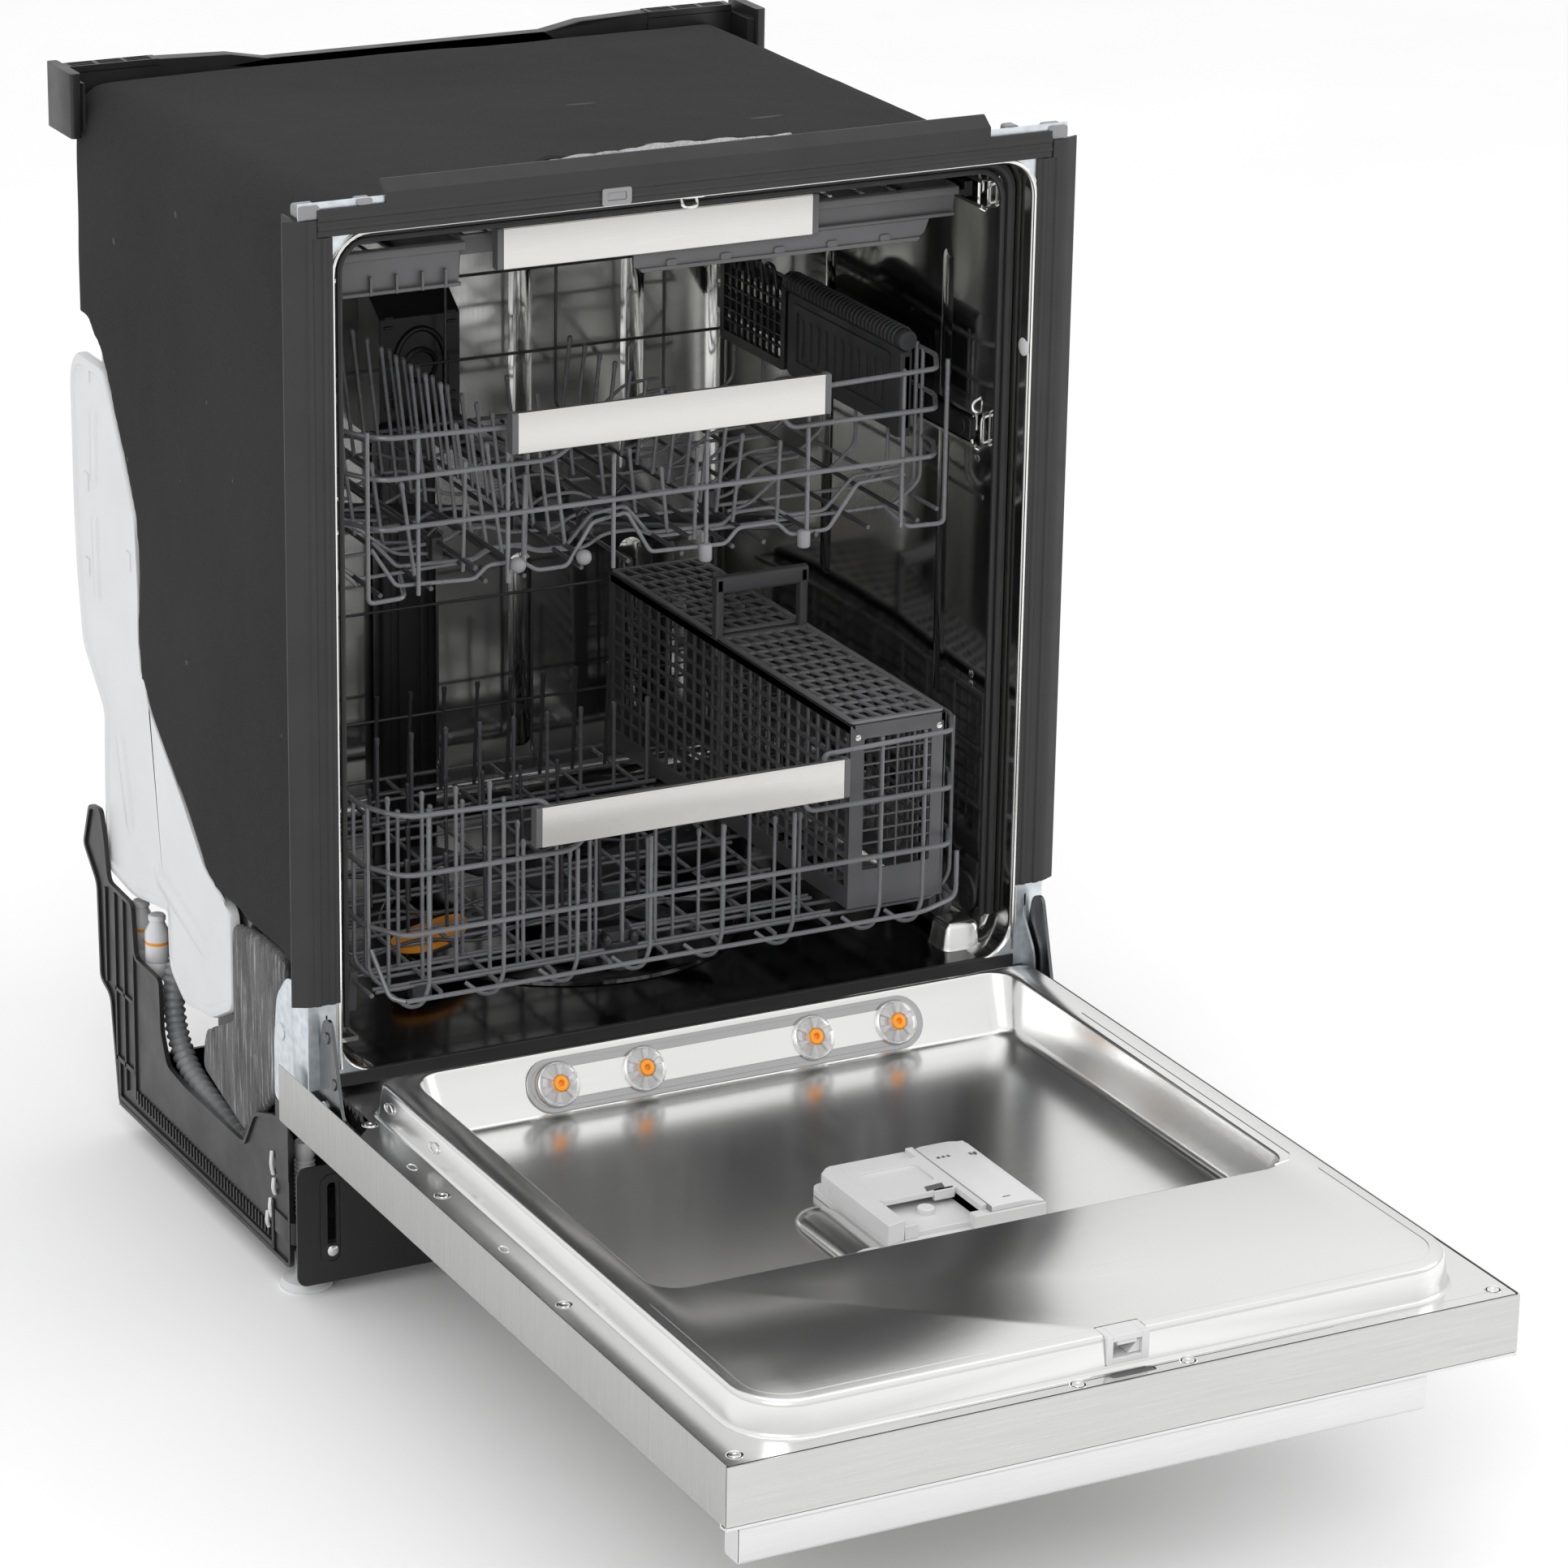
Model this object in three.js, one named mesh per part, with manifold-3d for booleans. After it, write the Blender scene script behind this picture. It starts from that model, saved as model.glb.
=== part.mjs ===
// Built-in dishwasher, 24-inch class, shown with its door dropped open.
// Millimetres, +Z up, +X to the right of somebody facing the machine, +Y to its back.
// Shapes are written in machine coordinates (y = 0 is the face of the tub flange) and
// the whole group is moved back by ORIGIN_Y so the origin is under the middle of the box.
import * as THREE from 'three';
import { mergeVertices } from 'three/addons/utils/BufferGeometryUtils.js';
import Module from 'manifold-3d';

const wasm = await Module();
wasm.setup();

// ---------------------------------------------------------------- driving dimensions
const GAP = 0.3; // clearance between pieces that touch
const SHEET = 0.8; // door sheet steel
const WALL = 1.5; // tub sheet steel

const FRONT_Y = -662.7; // face of the control panel, door open
const BACK_Y = 514; // back of the rear rail
const ORIGIN_Y = -(FRONT_Y + BACK_Y) / 2;

// tub
const TUB_X = 273; // half width inside
const SLEEVE_X = 279.5; // half width inside the front sleeve that holds the seal
const TUB_FLOOR = 209; // top of the tub floor
const TUB_TOP = 836.5; // underside of the sleeve's top
const TUB_BACK = 486.5; // inside face of the back wall
const SLEEVE_BACK = 34; // depth of the front sleeve
const FLANGE_X = 306;
const FLANGE_TOP = 862;

// side and top trims
const TRIM_IN = 280.8;
const TRIM_OUT = 316.6;
const TRIM_BOTTOM = 266.4;
const TRIM_TOP = 850;
const STEP_TOP = 872;

// hinge line of the door
const HINGE_Y = -10;
const HINGE_Z = 190;
const HINGE_X = 294.2; // inner face of the hinge arm
const PIN_R = 5;

// door, lying open
const DOOR_X = 301.5;
const DOOR_TOP = 195.3; // plane of the door's inner flange
const DOOR_FACE = 149.6; // outer face of the door
const DOOR_REAR = 67.6; // the door's bottom edge when it is shut
const RIM_TOP = 220; // top of the pressed rim
const RIM_X = 274;
const RIM_FRONT = -645;
const RIM_REAR = -40;
const POCKET_X = 247; // half width of the hollow at its mouth
const POCKET_REAR = -50;
const POCKET_FRONT = -455;
const POCKET_FLOOR = 179;
const POCKET_SLOPE = 22; // how far the rear wall leans in

// racks
const WIRE = 4.4; // hoops of the racks
const POST = 3.4; // uprights and lengthways wires, thinner so their faces stay inside the hoops
const CROSS = 3;
const RACK_X = 244; // centre line of the side wires
const CORNER_X = 18; // the front corners of the racks are cut off by this much
const CORNER_Y = 34;
const HANDLE_X = 129.5;
const HANDLE_H = 31;
const RAIL_X = 259.2; // inner face of the fixed rails
const RUNNER_X = 262.8; // outer face of the sliding runners, inside the seal
const WHEEL_R = 15.5;
const WHEEL_Z = 236;
const ARM_X = 0;
const LOWER_ARM_Y = 222;
const UPPER_ARM_Y = 240;

// ---------------------------------------------------------------- colours
const finish = (color, roughness, metalness) =>
  new THREE.MeshStandardMaterial({ color, roughness, metalness });
const POLISHED = () => finish(0xb9b8b4, 0.18, 1);
const BRUSHED = () => finish(0xb8b8b6, 0.35, 1);
const SATIN = () => finish(0xc6c6c4, 0.3, 1);
const GALVANISED = () => finish(0xa9b0b5, 0.4, 1);
const HINGE_STEEL = () => finish(0x55585a, 0.35, 1);
const FELT = () => finish(0x383838, 0.95, 0);
const FIBRE = () => finish(0x6a6a6c, 0.95, 0);
const DARK_TRIM = () => finish(0x444446, 0.55, 0);
const BLACK_PLASTIC = () => finish(0x1b1b1d, 0.5, 0);
const GREY_PLASTIC = () => finish(0x4c4c4e, 0.5, 0);
const WHITE_PLASTIC = () => finish(0xe4e6e6, 0.4, 0);
const PALE_GREY = () => finish(0xd2d2d2, 0.4, 0);
const COATED_WIRE = () => finish(0x6b6b70, 0.4, 0);
const BASKET_GREY = () => finish(0x2e2f31, 0.5, 0);
const SEAL = () => finish(0x202022, 0.7, 0);
const CLEAR = () => finish(0xf0f0ee, 0.1, 0);
const HOSE_GREY = () => finish(0x6f7274, 0.5, 0);

// ---------------------------------------------------------------- solids
function toSolid(geometry) {
  const bare = geometry.clone();
  bare.deleteAttribute('normal');
  bare.deleteAttribute('uv');
  const merged = mergeVertices(bare, 1e-4);
  return new wasm.Manifold(
    new wasm.Mesh({
      numProp: 3,
      vertProperties: new Float32Array(merged.attributes.position.array),
      triVerts: new Uint32Array(merged.index.array),
    }),
  );
}

function toGeometry(solid) {
  const mesh = solid.getMesh();
  const geometry = new THREE.BufferGeometry();
  geometry.setAttribute('position', new THREE.BufferAttribute(new Float32Array(mesh.vertProperties), 3));
  geometry.setIndex(new THREE.BufferAttribute(new Uint32Array(mesh.triVerts), 1));
  geometry.computeVertexNormals();
  return geometry;
}

const joined = (first, ...rest) => rest.reduce((sum, piece) => sum.add(piece), first);
const cut = (first, ...rest) => rest.reduce((sum, piece) => sum.subtract(piece), first);

function box(x0, x1, y0, y1, z0, z1) {
  const geometry = new THREE.BoxGeometry(x1 - x0, y1 - y0, z1 - z0);
  geometry.translate((x0 + x1) / 2, (y0 + y1) / 2, (z0 + z1) / 2);
  return toSolid(geometry);
}

function extruded(points, depth, holes = []) {
  const shape = new THREE.Shape(points.map(([u, v]) => new THREE.Vector2(u, v)));
  for (const hole of holes) {
    shape.holes.push(new THREE.Path(hole.map(([u, v]) => new THREE.Vector2(u, v))));
  }
  return new THREE.ExtrudeGeometry(shape, { depth, bevelEnabled: false });
}

// outline in x, y, extruded up from z0 to z1
function prismZ(points, z0, z1, holes) {
  const geometry = extruded(points, z1 - z0, holes);
  geometry.translate(0, 0, z0);
  return toSolid(geometry);
}

// outline in y, z, extruded from x0 to x1
function prismX(points, x0, x1, holes) {
  const geometry = extruded(points, x1 - x0, holes);
  const turn = new THREE.Matrix4().makeBasis(
    new THREE.Vector3(0, 1, 0),
    new THREE.Vector3(0, 0, 1),
    new THREE.Vector3(1, 0, 0),
  );
  geometry.applyMatrix4(turn);
  geometry.translate(x0, 0, 0);
  return toSolid(geometry);
}

// outline in x, z, extruded from y0 to y1
function prismY(points, y0, y1, holes) {
  const geometry = extruded(points, y1 - y0, holes);
  geometry.rotateX(Math.PI / 2);
  geometry.translate(0, y1, 0);
  return toSolid(geometry);
}

function roundedOutline(u0, u1, v0, v1, r, steps = 4, far = r) {
  const points = [];
  const corners = [
    [u1 - r, v0 + r, -90, r],
    [u1 - far, v1 - far, 0, far],
    [u0 + far, v1 - far, 90, far],
    [u0 + r, v0 + r, 180, r],
  ];
  for (const [u, v, start, radius] of corners) {
    for (let i = 0; i <= steps; i += 1) {
      const a = THREE.MathUtils.degToRad(start + (90 * i) / steps);
      points.push([u + radius * Math.cos(a), v + radius * Math.sin(a)]);
    }
  }
  return points;
}

function circle(u, v, r, steps = 16) {
  const points = [];
  for (let i = 0; i < steps; i += 1) {
    const a = (2 * Math.PI * i) / steps;
    points.push([u + r * Math.cos(a), v + r * Math.sin(a)]);
  }
  return points;
}

// upright round piece turned from a radius and height profile that starts and ends on the axis
function turned(profile, x, y, z, steps = 20) {
  const geometry = new THREE.LatheGeometry(profile.map(([r, h]) => new THREE.Vector2(r, h)), steps);
  geometry.rotateX(Math.PI / 2);
  geometry.translate(x, y, z);
  return toSolid(geometry);
}

function cylinderX(x0, x1, y, z, r, steps = 16) {
  const geometry = new THREE.CylinderGeometry(r, r, x1 - x0, steps);
  geometry.rotateZ(Math.PI / 2);
  geometry.translate((x0 + x1) / 2, y, z);
  return toSolid(geometry);
}

// block that grows from its lower outline to its upper one
function tapered(low, high, z0, z1) {
  const geometry = extruded(low, z1 - z0);
  geometry.translate(0, 0, z0);
  const position = geometry.attributes.position;
  for (let i = 0; i < position.count; i += 1) {
    if (position.getZ(i) > (z0 + z1) / 2) {
      const at = low.findIndex(([u, v]) =>
        Math.hypot(u - position.getX(i), v - position.getY(i)) < 1e-3);
      position.setXY(i, high[at][0], high[at][1]);
    }
  }
  return toSolid(geometry);
}

const mirroredX = (points) => points.map(([u, v]) => [-u, v]).reverse();

// prism of a right-hand outline on the chosen side of the machine
function sidePrismX(side, points, near, far) {
  return side > 0 ? prismX(points, near, far) : prismX(points, -far, -near);
}

function sideBox(side, near, far, y0, y1, z0, z1) {
  return side > 0 ? box(near, far, y0, y1, z0, z1) : box(-far, -near, y0, y1, z0, z1);
}

const group = new THREE.Group();
group.position.set(0, ORIGIN_Y, 0);

function put(name, solid, material, parent = group) {
  const mesh = new THREE.Mesh(toGeometry(solid), material);
  mesh.name = name;
  parent.add(mesh);
  return mesh;
}

const SIDES = [['left', -1], ['right', 1]];

// ---------------------------------------------------------------- tub and cabinet
function tubSolid() {
  const flange = prismY(
    [[-FLANGE_X, 268], [FLANGE_X, 268], [FLANGE_X, FLANGE_TOP], [-FLANGE_X, FLANGE_TOP]], 0, WALL);
  const sleeve = prismY(
    roundedOutline(-SLEEVE_X - WALL, SLEEVE_X + WALL, TUB_FLOOR - WALL, TUB_TOP + WALL, 29.5),
    0, SLEEVE_BACK);
  const body = prismY(
    roundedOutline(-TUB_X - WALL, TUB_X + WALL, TUB_FLOOR - WALL, 832, 17.5), 0, TUB_BACK + WALL);
  const mouth = prismY(
    roundedOutline(-SLEEVE_X, SLEEVE_X, TUB_FLOOR, TUB_TOP, 28), -1, SLEEVE_BACK - WALL);
  const room = prismY(roundedOutline(-TUB_X, TUB_X, TUB_FLOOR, 832 - WALL, 16), -1, TUB_BACK);
  const sumpHole = prismZ(circle(ARM_X, LOWER_ARM_Y - 7, 134, 32), TUB_FLOOR - 3, TUB_FLOOR + 1);
  const ledges = SIDES.map(([, side]) =>
    sideBox(side, 249, TUB_X + 0.5, SLEEVE_BACK + 4, TUB_BACK - 6, 216, 219.7));
  return joined(cut(joined(flange, sleeve, body), mouth, room, sumpHole), ...ledges);
}

function gasketSolid() {
  const outer = roundedOutline(-SLEEVE_X + GAP, SLEEVE_X - GAP, 236, TUB_TOP - GAP, 27.7);
  const inner = roundedOutline(-264, 264, 200, 820, 16);
  return cut(prismY(outer, 21, SLEEVE_BACK - WALL - GAP), prismY(inner, 20, SLEEVE_BACK));
}

function trimSide(side) {
  const face = [
    [TRIM_IN, -2.2], [286, -2.2], [287, -3.6], [289, -3.6], [290, -2.2], [296, -2.2], [297, -3.6],
    [300, -3.6], [301, -2.2], [305, -2.2], [308.2, -0.8], [TRIM_OUT, 3.4], [TRIM_OUT, 5],
    [308.2, 2], [308.2, 24], [FLANGE_X + GAP, 24], [FLANGE_X + GAP, -GAP], [TRIM_IN, -GAP],
  ];
  const outline = side > 0 ? face : mirroredX(face);
  const length = prismZ(outline, TRIM_BOTTOM, TRIM_TOP);
  const corner = sideBox(side, TRIM_IN - 1, 293, -5, -GAP + 0.01, TUB_TOP + 0.2, TRIM_TOP + 1);
  return cut(length, corner);
}

function trimTopSolid() {
  const strip = box(-292.6, 292.6, -2.2, -GAP, TUB_TOP + 0.6, 857);
  const ribs = [842, 849].map((z) => box(-292.6, 292.6, -3.6, -2.2, z, z + 2.4));
  const upright = prismX(
    [[-2.2, 850], [-GAP, 850], [-GAP, 862.4], [10, 869.4], [10, STEP_TOP], [8, STEP_TOP], [-2.2, 864.5]],
    -240.5, 240.5);
  return joined(strip, ...ribs, upright);
}

function blanketSolid() {
  const shell = prismY(roundedOutline(-286, 286, 200, 843, 40, 5), 13, 510);
  const hollow = prismY(roundedOutline(-276, 276, 150, 833.5, 18, 5), 12, TUB_BACK + WALL + GAP);
  const sleeveRoom = box(-282.5, 282.5, 12, SLEEVE_BACK + 2, 150, TUB_TOP + WALL + 1);
  const rearRoom = box(-262, 262, 480, 498, 150, 785);
  const railRoom = box(-300, 300, 497, 520, 799, 900);
  const under = box(-300, 300, 0, 600, 100, 267);
  const waist = [
    [520, 100], [60, 100], [60, 267], [84, 268.5], [228, 276], [247, 284], [285, 324], [312, 346],
    [347, 373], [374, 404], [376, 440], [373, 475], [376, 526], [400, 572], [423, 610], [444, 642],
    [470, 662], [520, 662],
  ];
  const openings = [prismX(waist, -300, -200), prismX(waist, 200, 300)];
  return cut(shell, hollow, sleeveRoom, rearRoom, railRoom, under, ...openings);
}

function guideSolid() {
  const outline = [
    [200, 186], [239, 165], [296, 156], [323, 172], [325, 222], [402, 208.5], [457, 214], [458, 289],
    [456, 346],
    [482, 372], [500, 390], [509, 447], [512, 500], [512, 612], [500, 628], [442, 628], [426, 605],
    [403, 567], [379.5, 524], [376.5, 475], [379.5, 440], [377.5, 403], [349, 369], [314, 342],
    [287, 320], [241, 277], [200, 266],
  ];
  return prismX(outline, -284.9, -276);
}

function fibreSolid() {
  const outline = [
    [197, 258], [150, 266], [93, 266], [90, 238], [115, 149], [178, 95], [261, 117], [256, 148],
    [238, 159], [197, 179],
  ];
  return prismX(outline, -284.9, -276);
}

function basePanSolid() {
  const wall = [
    [430.5, 21.5], [445, 110], [466, 118], [469, 198], [497, 223], [482, 261], [458, 264], [450, 240],
    [444, 208], [394, 206], [389, 163], [338, 162], [336, 119], [324, 95], [288, 91], [170, 91],
    [149, 124], [107, 138], [80, 133], [80, 21.5],
  ];
  const sides = SIDES.map(([, side]) => sidePrismX(side, wall, 285.3, 289.3));
  const floor = box(-289.3, 289.3, 112, 430, 22, 27);
  const frontBeam = box(-289.3, 289.3, 112, 117, 22, 66);
  const rearBeam = box(-289.3, 289.3, 425, 430, 22, 60);
  const ears = SIDES.map(([, side]) => sideBox(side, 250, 289.3, 76, 114, 40, 62));
  const cradle = SIDES.map(([, side]) => sideBox(side, 200, 204, 114, 428, 24, 206));
  const feetHoles = SIDES.map(([, side]) => prismZ(circle(side * 270, 95, 8.4), 30, 70));
  const rearBoss = box(-16, 16, 392, 428, 24, 56);
  const rearHole = prismZ(circle(0, 410, 8.4), 10, 70);
  const pumpRoom = box(-190, 190, 130, 380, 21, 28);
  const frame = joined(floor, frontBeam, rearBeam, rearBoss, ...sides, ...ears, ...cradle);
  return cut(frame, ...feetHoles, rearHole, pumpRoom);
}

function kickSolid() {
  const outline = roundedOutline(-290, 290, 14, 110, 6, 2);
  const slots = SIDES.map(([, side]) => roundedOutline(side * 262 - 4, side * 262 + 4, 34, 96, 3.9, 3));
  const plate = prismY(outline, 63, 66, slots);
  const shelf = box(-285, 285, 65.5, 75.4, 40, 43);
  return cut(joined(plate, shelf), ...SIDES.map(([, side]) =>
    box(side * 270 - 22, side * 270 + 22, 66, 80, 30, 50)));
}

function footSolid(x, y, top) {
  return turned([[0, 0], [20, 0], [20, 4], [17, 7], [8, 9], [8, top], [0, top]], x, y, 0, 16);
}

function rearRailSolid() {
  const blocks = SIDES.map(([, side]) => sideBox(side, 210, 296, 499, BACK_Y, 806, 852));
  const horns = SIDES.map(([, side]) => sideBox(side, 287, 296, 462, 500, 804, 855));
  const beam = prismY(
    [[-215, 812], [-150, 820], [150, 820], [215, 812], [215, 851], [120, 843], [-120, 843], [-215, 851]],
    499, BACK_Y);
  const slots = [];
  for (const side of [-1, 1]) {
    for (let i = 0; i < 3; i += 1) {
      slots.push(sideBox(side, 222 + i * 24, 240 + i * 24, 503, 510, 840, 853));
    }
  }
  return cut(joined(beam, ...blocks, ...horns), ...slots);
}

function hingeBracketSolid(side) {
  const plate = [
    [-20, 180], [16, 156], [74, 156], [74, 96], [98, 96], [98, 200], [92, 240], [72, 262],
    [0, 265.5], [0, 240], [-18, 215],
  ];
  const sheet = sidePrismX(side, plate, 290.2, 292.2);
  const pin = side > 0
    ? cylinderX(291, 299.4, HINGE_Y, HINGE_Z, PIN_R)
    : cylinderX(-299.4, -291, HINGE_Y, HINGE_Z, PIN_R);
  return joined(sheet, pin);
}

function sumpPumpSolid() {
  const y = LOWER_ARM_Y - 7;
  const bowl = turned(
    [[0, 80], [62, 80], [70, 100], [70, 178], [126, 186], [146, 203.5], [146, TUB_FLOOR - WALL - GAP],
      [132, TUB_FLOOR - WALL - GAP], [122, 192], [0, 186]],
    ARM_X, y, 0, 32);
  const motor = cylinderX(66, 170, y, 120, 42, 20);
  const drain = cylinderX(-150, -60, y - 20, 112, 26, 16);
  const cupHole = box(ARM_X - 43, ARM_X + 43, y - 108, y - 22, 150, 230);
  return cut(joined(bowl, motor, drain), cupHole);
}

function filterCupSolid() {
  const profile = [
    [0, 151], [42, 151], [42, 213], [45.5, 213], [45.5, 217], [34, 217], [34, 160], [0, 160],
  ];
  return turned(profile, ARM_X, LOWER_ARM_Y - 72, 0, 24);
}

function drainHoseSolid() {
  const route = new THREE.CatmullRomCurve3([
    new THREE.Vector3(-262, 357, 172),
    new THREE.Vector3(-271, 353, 148),
    new THREE.Vector3(-271, 347, 114),
    new THREE.Vector3(-271, 320, 90),
    new THREE.Vector3(-270, 268, 78),
    new THREE.Vector3(-262, 215, 66),
    new THREE.Vector3(-232, 190, 66),
    new THREE.Vector3(-208, 195, 70),
  ]);
  const section = new THREE.Shape(circle(0, 0, 9.5, 10).map(([u, v]) => new THREE.Vector2(u, v)));
  return toSolid(new THREE.ExtrudeGeometry(section, { steps: 22, extrudePath: route }));
}

function inletBottlesSolid() {
  const bottle = (y) => turned(
    [[0, 146], [7, 146], [10, 152], [10, 186], [6, 194], [6, 200], [0, 200]], -273, y, 0, 14);
  return joined(bottle(414), bottle(380), box(-276, -270, 382, 412, 165, 180));
}

function waterDuctSolid() {
  const pipe = box(-42, 8, 466, TUB_BACK - GAP, 212, 545);
  const back = TUB_BACK - GAP;
  const dock = prismX(
    [[back, 540], [462, 540], [442, 556], [442, 640], [462, 655], [back, 655]], -52, 18);
  return joined(pipe, dock);
}

function channelRail(side, y0, y1, z0, z1) {
  const outer = sideBox(side, RAIL_X, TUB_X - GAP, y0, y1, z0, z1);
  const groove = sideBox(side, RAIL_X - 1, RUNNER_X + 0.6, y0 - 1, y1 + 1, z0 + 3, z1 - 3);
  return cut(outer, groove);
}

put('tub', tubSolid(), POLISHED());
put('tub_gasket', gasketSolid(), SEAL());
for (const [name, side] of SIDES) {
  put(`trim_${name}`, trimSide(side), DARK_TRIM());
}
put('trim_top', trimTopSolid(), DARK_TRIM());
const strikerPlate = box(-9, 13, 3, 16, TUB_TOP - 2.3, TUB_TOP - GAP);
const strikerLoop = box(-4, 8, 6, 12, TUB_TOP - 14, TUB_TOP - 2);
put('latch_striker', joined(strikerPlate, strikerLoop), GALVANISED());
put('sound_blanket', blanketSolid(), FELT());
put('water_guide_box', guideSolid(), WHITE_PLASTIC());
put('fibre_pad', fibreSolid(), FIBRE());
put('base_pan', basePanSolid(), BLACK_PLASTIC());
put('kick_panel', kickSolid(), BLACK_PLASTIC());
put('rear_top_rail', rearRailSolid(), BLACK_PLASTIC());
for (const [name, side] of SIDES) {
  put(`hinge_bracket_${name}`, hingeBracketSolid(side), GALVANISED());
}
put('sump_pump', sumpPumpSolid(), BLACK_PLASTIC());
put('filter_cup', filterCupSolid(), GREY_PLASTIC());
put('drain_hose', drainHoseSolid(), HOSE_GREY());
put('inlet_bottles', inletBottlesSolid(), WHITE_PLASTIC());
put('water_duct', waterDuctSolid(), BLACK_PLASTIC());
for (const [name, side] of SIDES) {
  put(`rail_upper_${name}`, channelRail(side, 42, 470, 606, 634), GALVANISED());
  put(`rail_third_${name}`, channelRail(side, 42, 470, 791, 813), GALVANISED());
  put(`foot_front_${name}`, footSolid(side * 270, 95, 118), PALE_GREY());
}
put('foot_rear', footSolid(0, 410, 90), PALE_GREY());

// ---------------------------------------------------------------- spray arms
function sprayBar(y, z0, z1, reach, halfWidth, degrees) {
  const a = THREE.MathUtils.degToRad(degrees);
  const along = [Math.cos(a), Math.sin(a)];
  const across = [-along[1], along[0]];
  const at = (u, v) => [ARM_X + along[0] * u + across[0] * v, y + along[1] * u + across[1] * v];
  const tip = halfWidth * 0.7;
  return prismZ([
    at(-reach, -tip), at(-20, -halfWidth), at(20, -halfWidth), at(reach, -tip),
    at(reach, tip), at(20, halfWidth), at(-20, halfWidth), at(-reach, tip),
  ], z0, z1);
}

function hub(y, z0, z1, r) {
  return turned([[0, z0], [r, z0], [r, z1], [0, z1]], ARM_X, y, 0, 20);
}

put('lower_spray_arm', joined(
  sprayBar(LOWER_ARM_Y, 228, 238, 194, 22, 205), sprayBar(LOWER_ARM_Y, 229, 236, 150, 17, 118),
  hub(LOWER_ARM_Y, 222, 242, 28)), GREY_PLASTIC());
put('upper_spray_arm', joined(
  sprayBar(UPPER_ARM_Y, 526, 535, 190, 17, 150), hub(UPPER_ARM_Y, 522, 538, 22)), GREY_PLASTIC());

// ---------------------------------------------------------------- door
function outerPanelSolid() {
  const face = box(-DOOR_X, DOOR_X, -655, DOOR_REAR, DOOR_FACE, DOOR_FACE + SHEET);
  const sides = SIDES.map(([, side]) =>
    sideBox(side, DOOR_X - SHEET, DOOR_X, FRONT_Y + 2.2, DOOR_REAR - 0.5, DOOR_FACE + 0.2, 195.9));
  const rear = box(-281, 281, DOOR_REAR - SHEET - 0.2, DOOR_REAR - 0.2, DOOR_FACE + 0.2, 184);
  return joined(face, ...sides, rear);
}

function controlPanelSolid() {
  const face = box(-DOOR_X, DOOR_X, FRONT_Y, FRONT_Y + 1.9, DOOR_FACE + 2.4, DOOR_TOP);
  const ledge = box(-299.6, 299.6, FRONT_Y + 1.5, FRONT_Y + 12, DOOR_TOP - SHEET, DOOR_TOP);
  const lip = prismX([[FRONT_Y + 1, DOOR_FACE + 2.4], [FRONT_Y + 1.9, DOOR_FACE + 2.4],
    [FRONT_Y + 7, DOOR_FACE + GAP], [FRONT_Y + 5, DOOR_FACE]], -299.6, 299.6);
  return joined(face, ledge, lip);
}

function linerSolid() {
  const flange = prismZ([
    [-299.6, -650.2], [299.6, -650.2], [299.6, -80], [283, -62], [283, DOOR_REAR - 2],
    [-283, DOOR_REAR - 2], [-283, -62], [-299.6, -80],
  ], DOOR_TOP - SHEET, DOOR_TOP);
  const foot = roundedOutline(-RIM_X, RIM_X, RIM_FRONT, RIM_REAR, 44, 5, 16);
  const crown = roundedOutline(-RIM_X + 3, RIM_X - 3, RIM_FRONT + 4, RIM_REAR - 3, 42, 5, 14);
  const rim = tapered(foot, crown, DOOR_TOP - SHEET, RIM_TOP);
  const footIn = roundedOutline(
    -RIM_X + SHEET, RIM_X - SHEET, RIM_FRONT + SHEET, RIM_REAR - SHEET, 43, 5, 15);
  const crownIn = roundedOutline(
    -RIM_X + 3 + SHEET, RIM_X - 3 - SHEET, RIM_FRONT + 4 + SHEET, RIM_REAR - 3 - SHEET, 41, 5, 13);
  const rimRoom = tapered(footIn, crownIn, DOOR_TOP - SHEET - 1, RIM_TOP - SHEET);
  const floorIn = roundedOutline(
    -POCKET_X + 8, POCKET_X - 8, POCKET_FRONT + 14, POCKET_REAR - POCKET_SLOPE, 14, 3);
  const mouthIn = roundedOutline(-POCKET_X, POCKET_X, POCKET_FRONT, POCKET_REAR, 22, 3);
  const grown = (points, by) => {
    const centre = (POCKET_FRONT + POCKET_REAR) / 2;
    return points.map(([u, v]) => [u + Math.sign(u) * by, v + Math.sign(v - centre) * by]);
  };
  const pocket = tapered(floorIn, mouthIn, POCKET_FLOOR, RIM_TOP);
  const pocketSkin = tapered(
    grown(floorIn, SHEET * 1.6), grown(mouthIn, SHEET * 1.6), POCKET_FLOOR - SHEET, RIM_TOP);
  const shell = cut(joined(flange, rim), rimRoom);
  const latchNotch = box(-9, 13, RIM_FRONT - 2, -626, 203, RIM_TOP + 1);
  return cut(joined(shell, pocketSkin), pocket, latchNotch);
}

function handleSolid() {
  const bar = prismX(roundedOutline(-610, -590, 93, 121, 3, 1), -265, 265);
  const brackets = SIDES.map(([, side]) => sideBox(side, 200, 265, -606, -592, 119, DOOR_FACE - GAP));
  return joined(bar, ...brackets);
}

function hingeArmSolid(side) {
  const outline = [[-110, 172], [-110, 191], [-40, 191], [-20, 262], [-6, 258], [12, 184], [-8, 174]];
  const hole = circle(HINGE_Y, HINGE_Z, PIN_R + 0.35);
  const plate = side > 0
    ? prismX(outline, HINGE_X, HINGE_X + 3, [hole])
    : prismX(outline, -HINGE_X - 3, -HINGE_X, [hole]);
  return plate;
}

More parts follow.
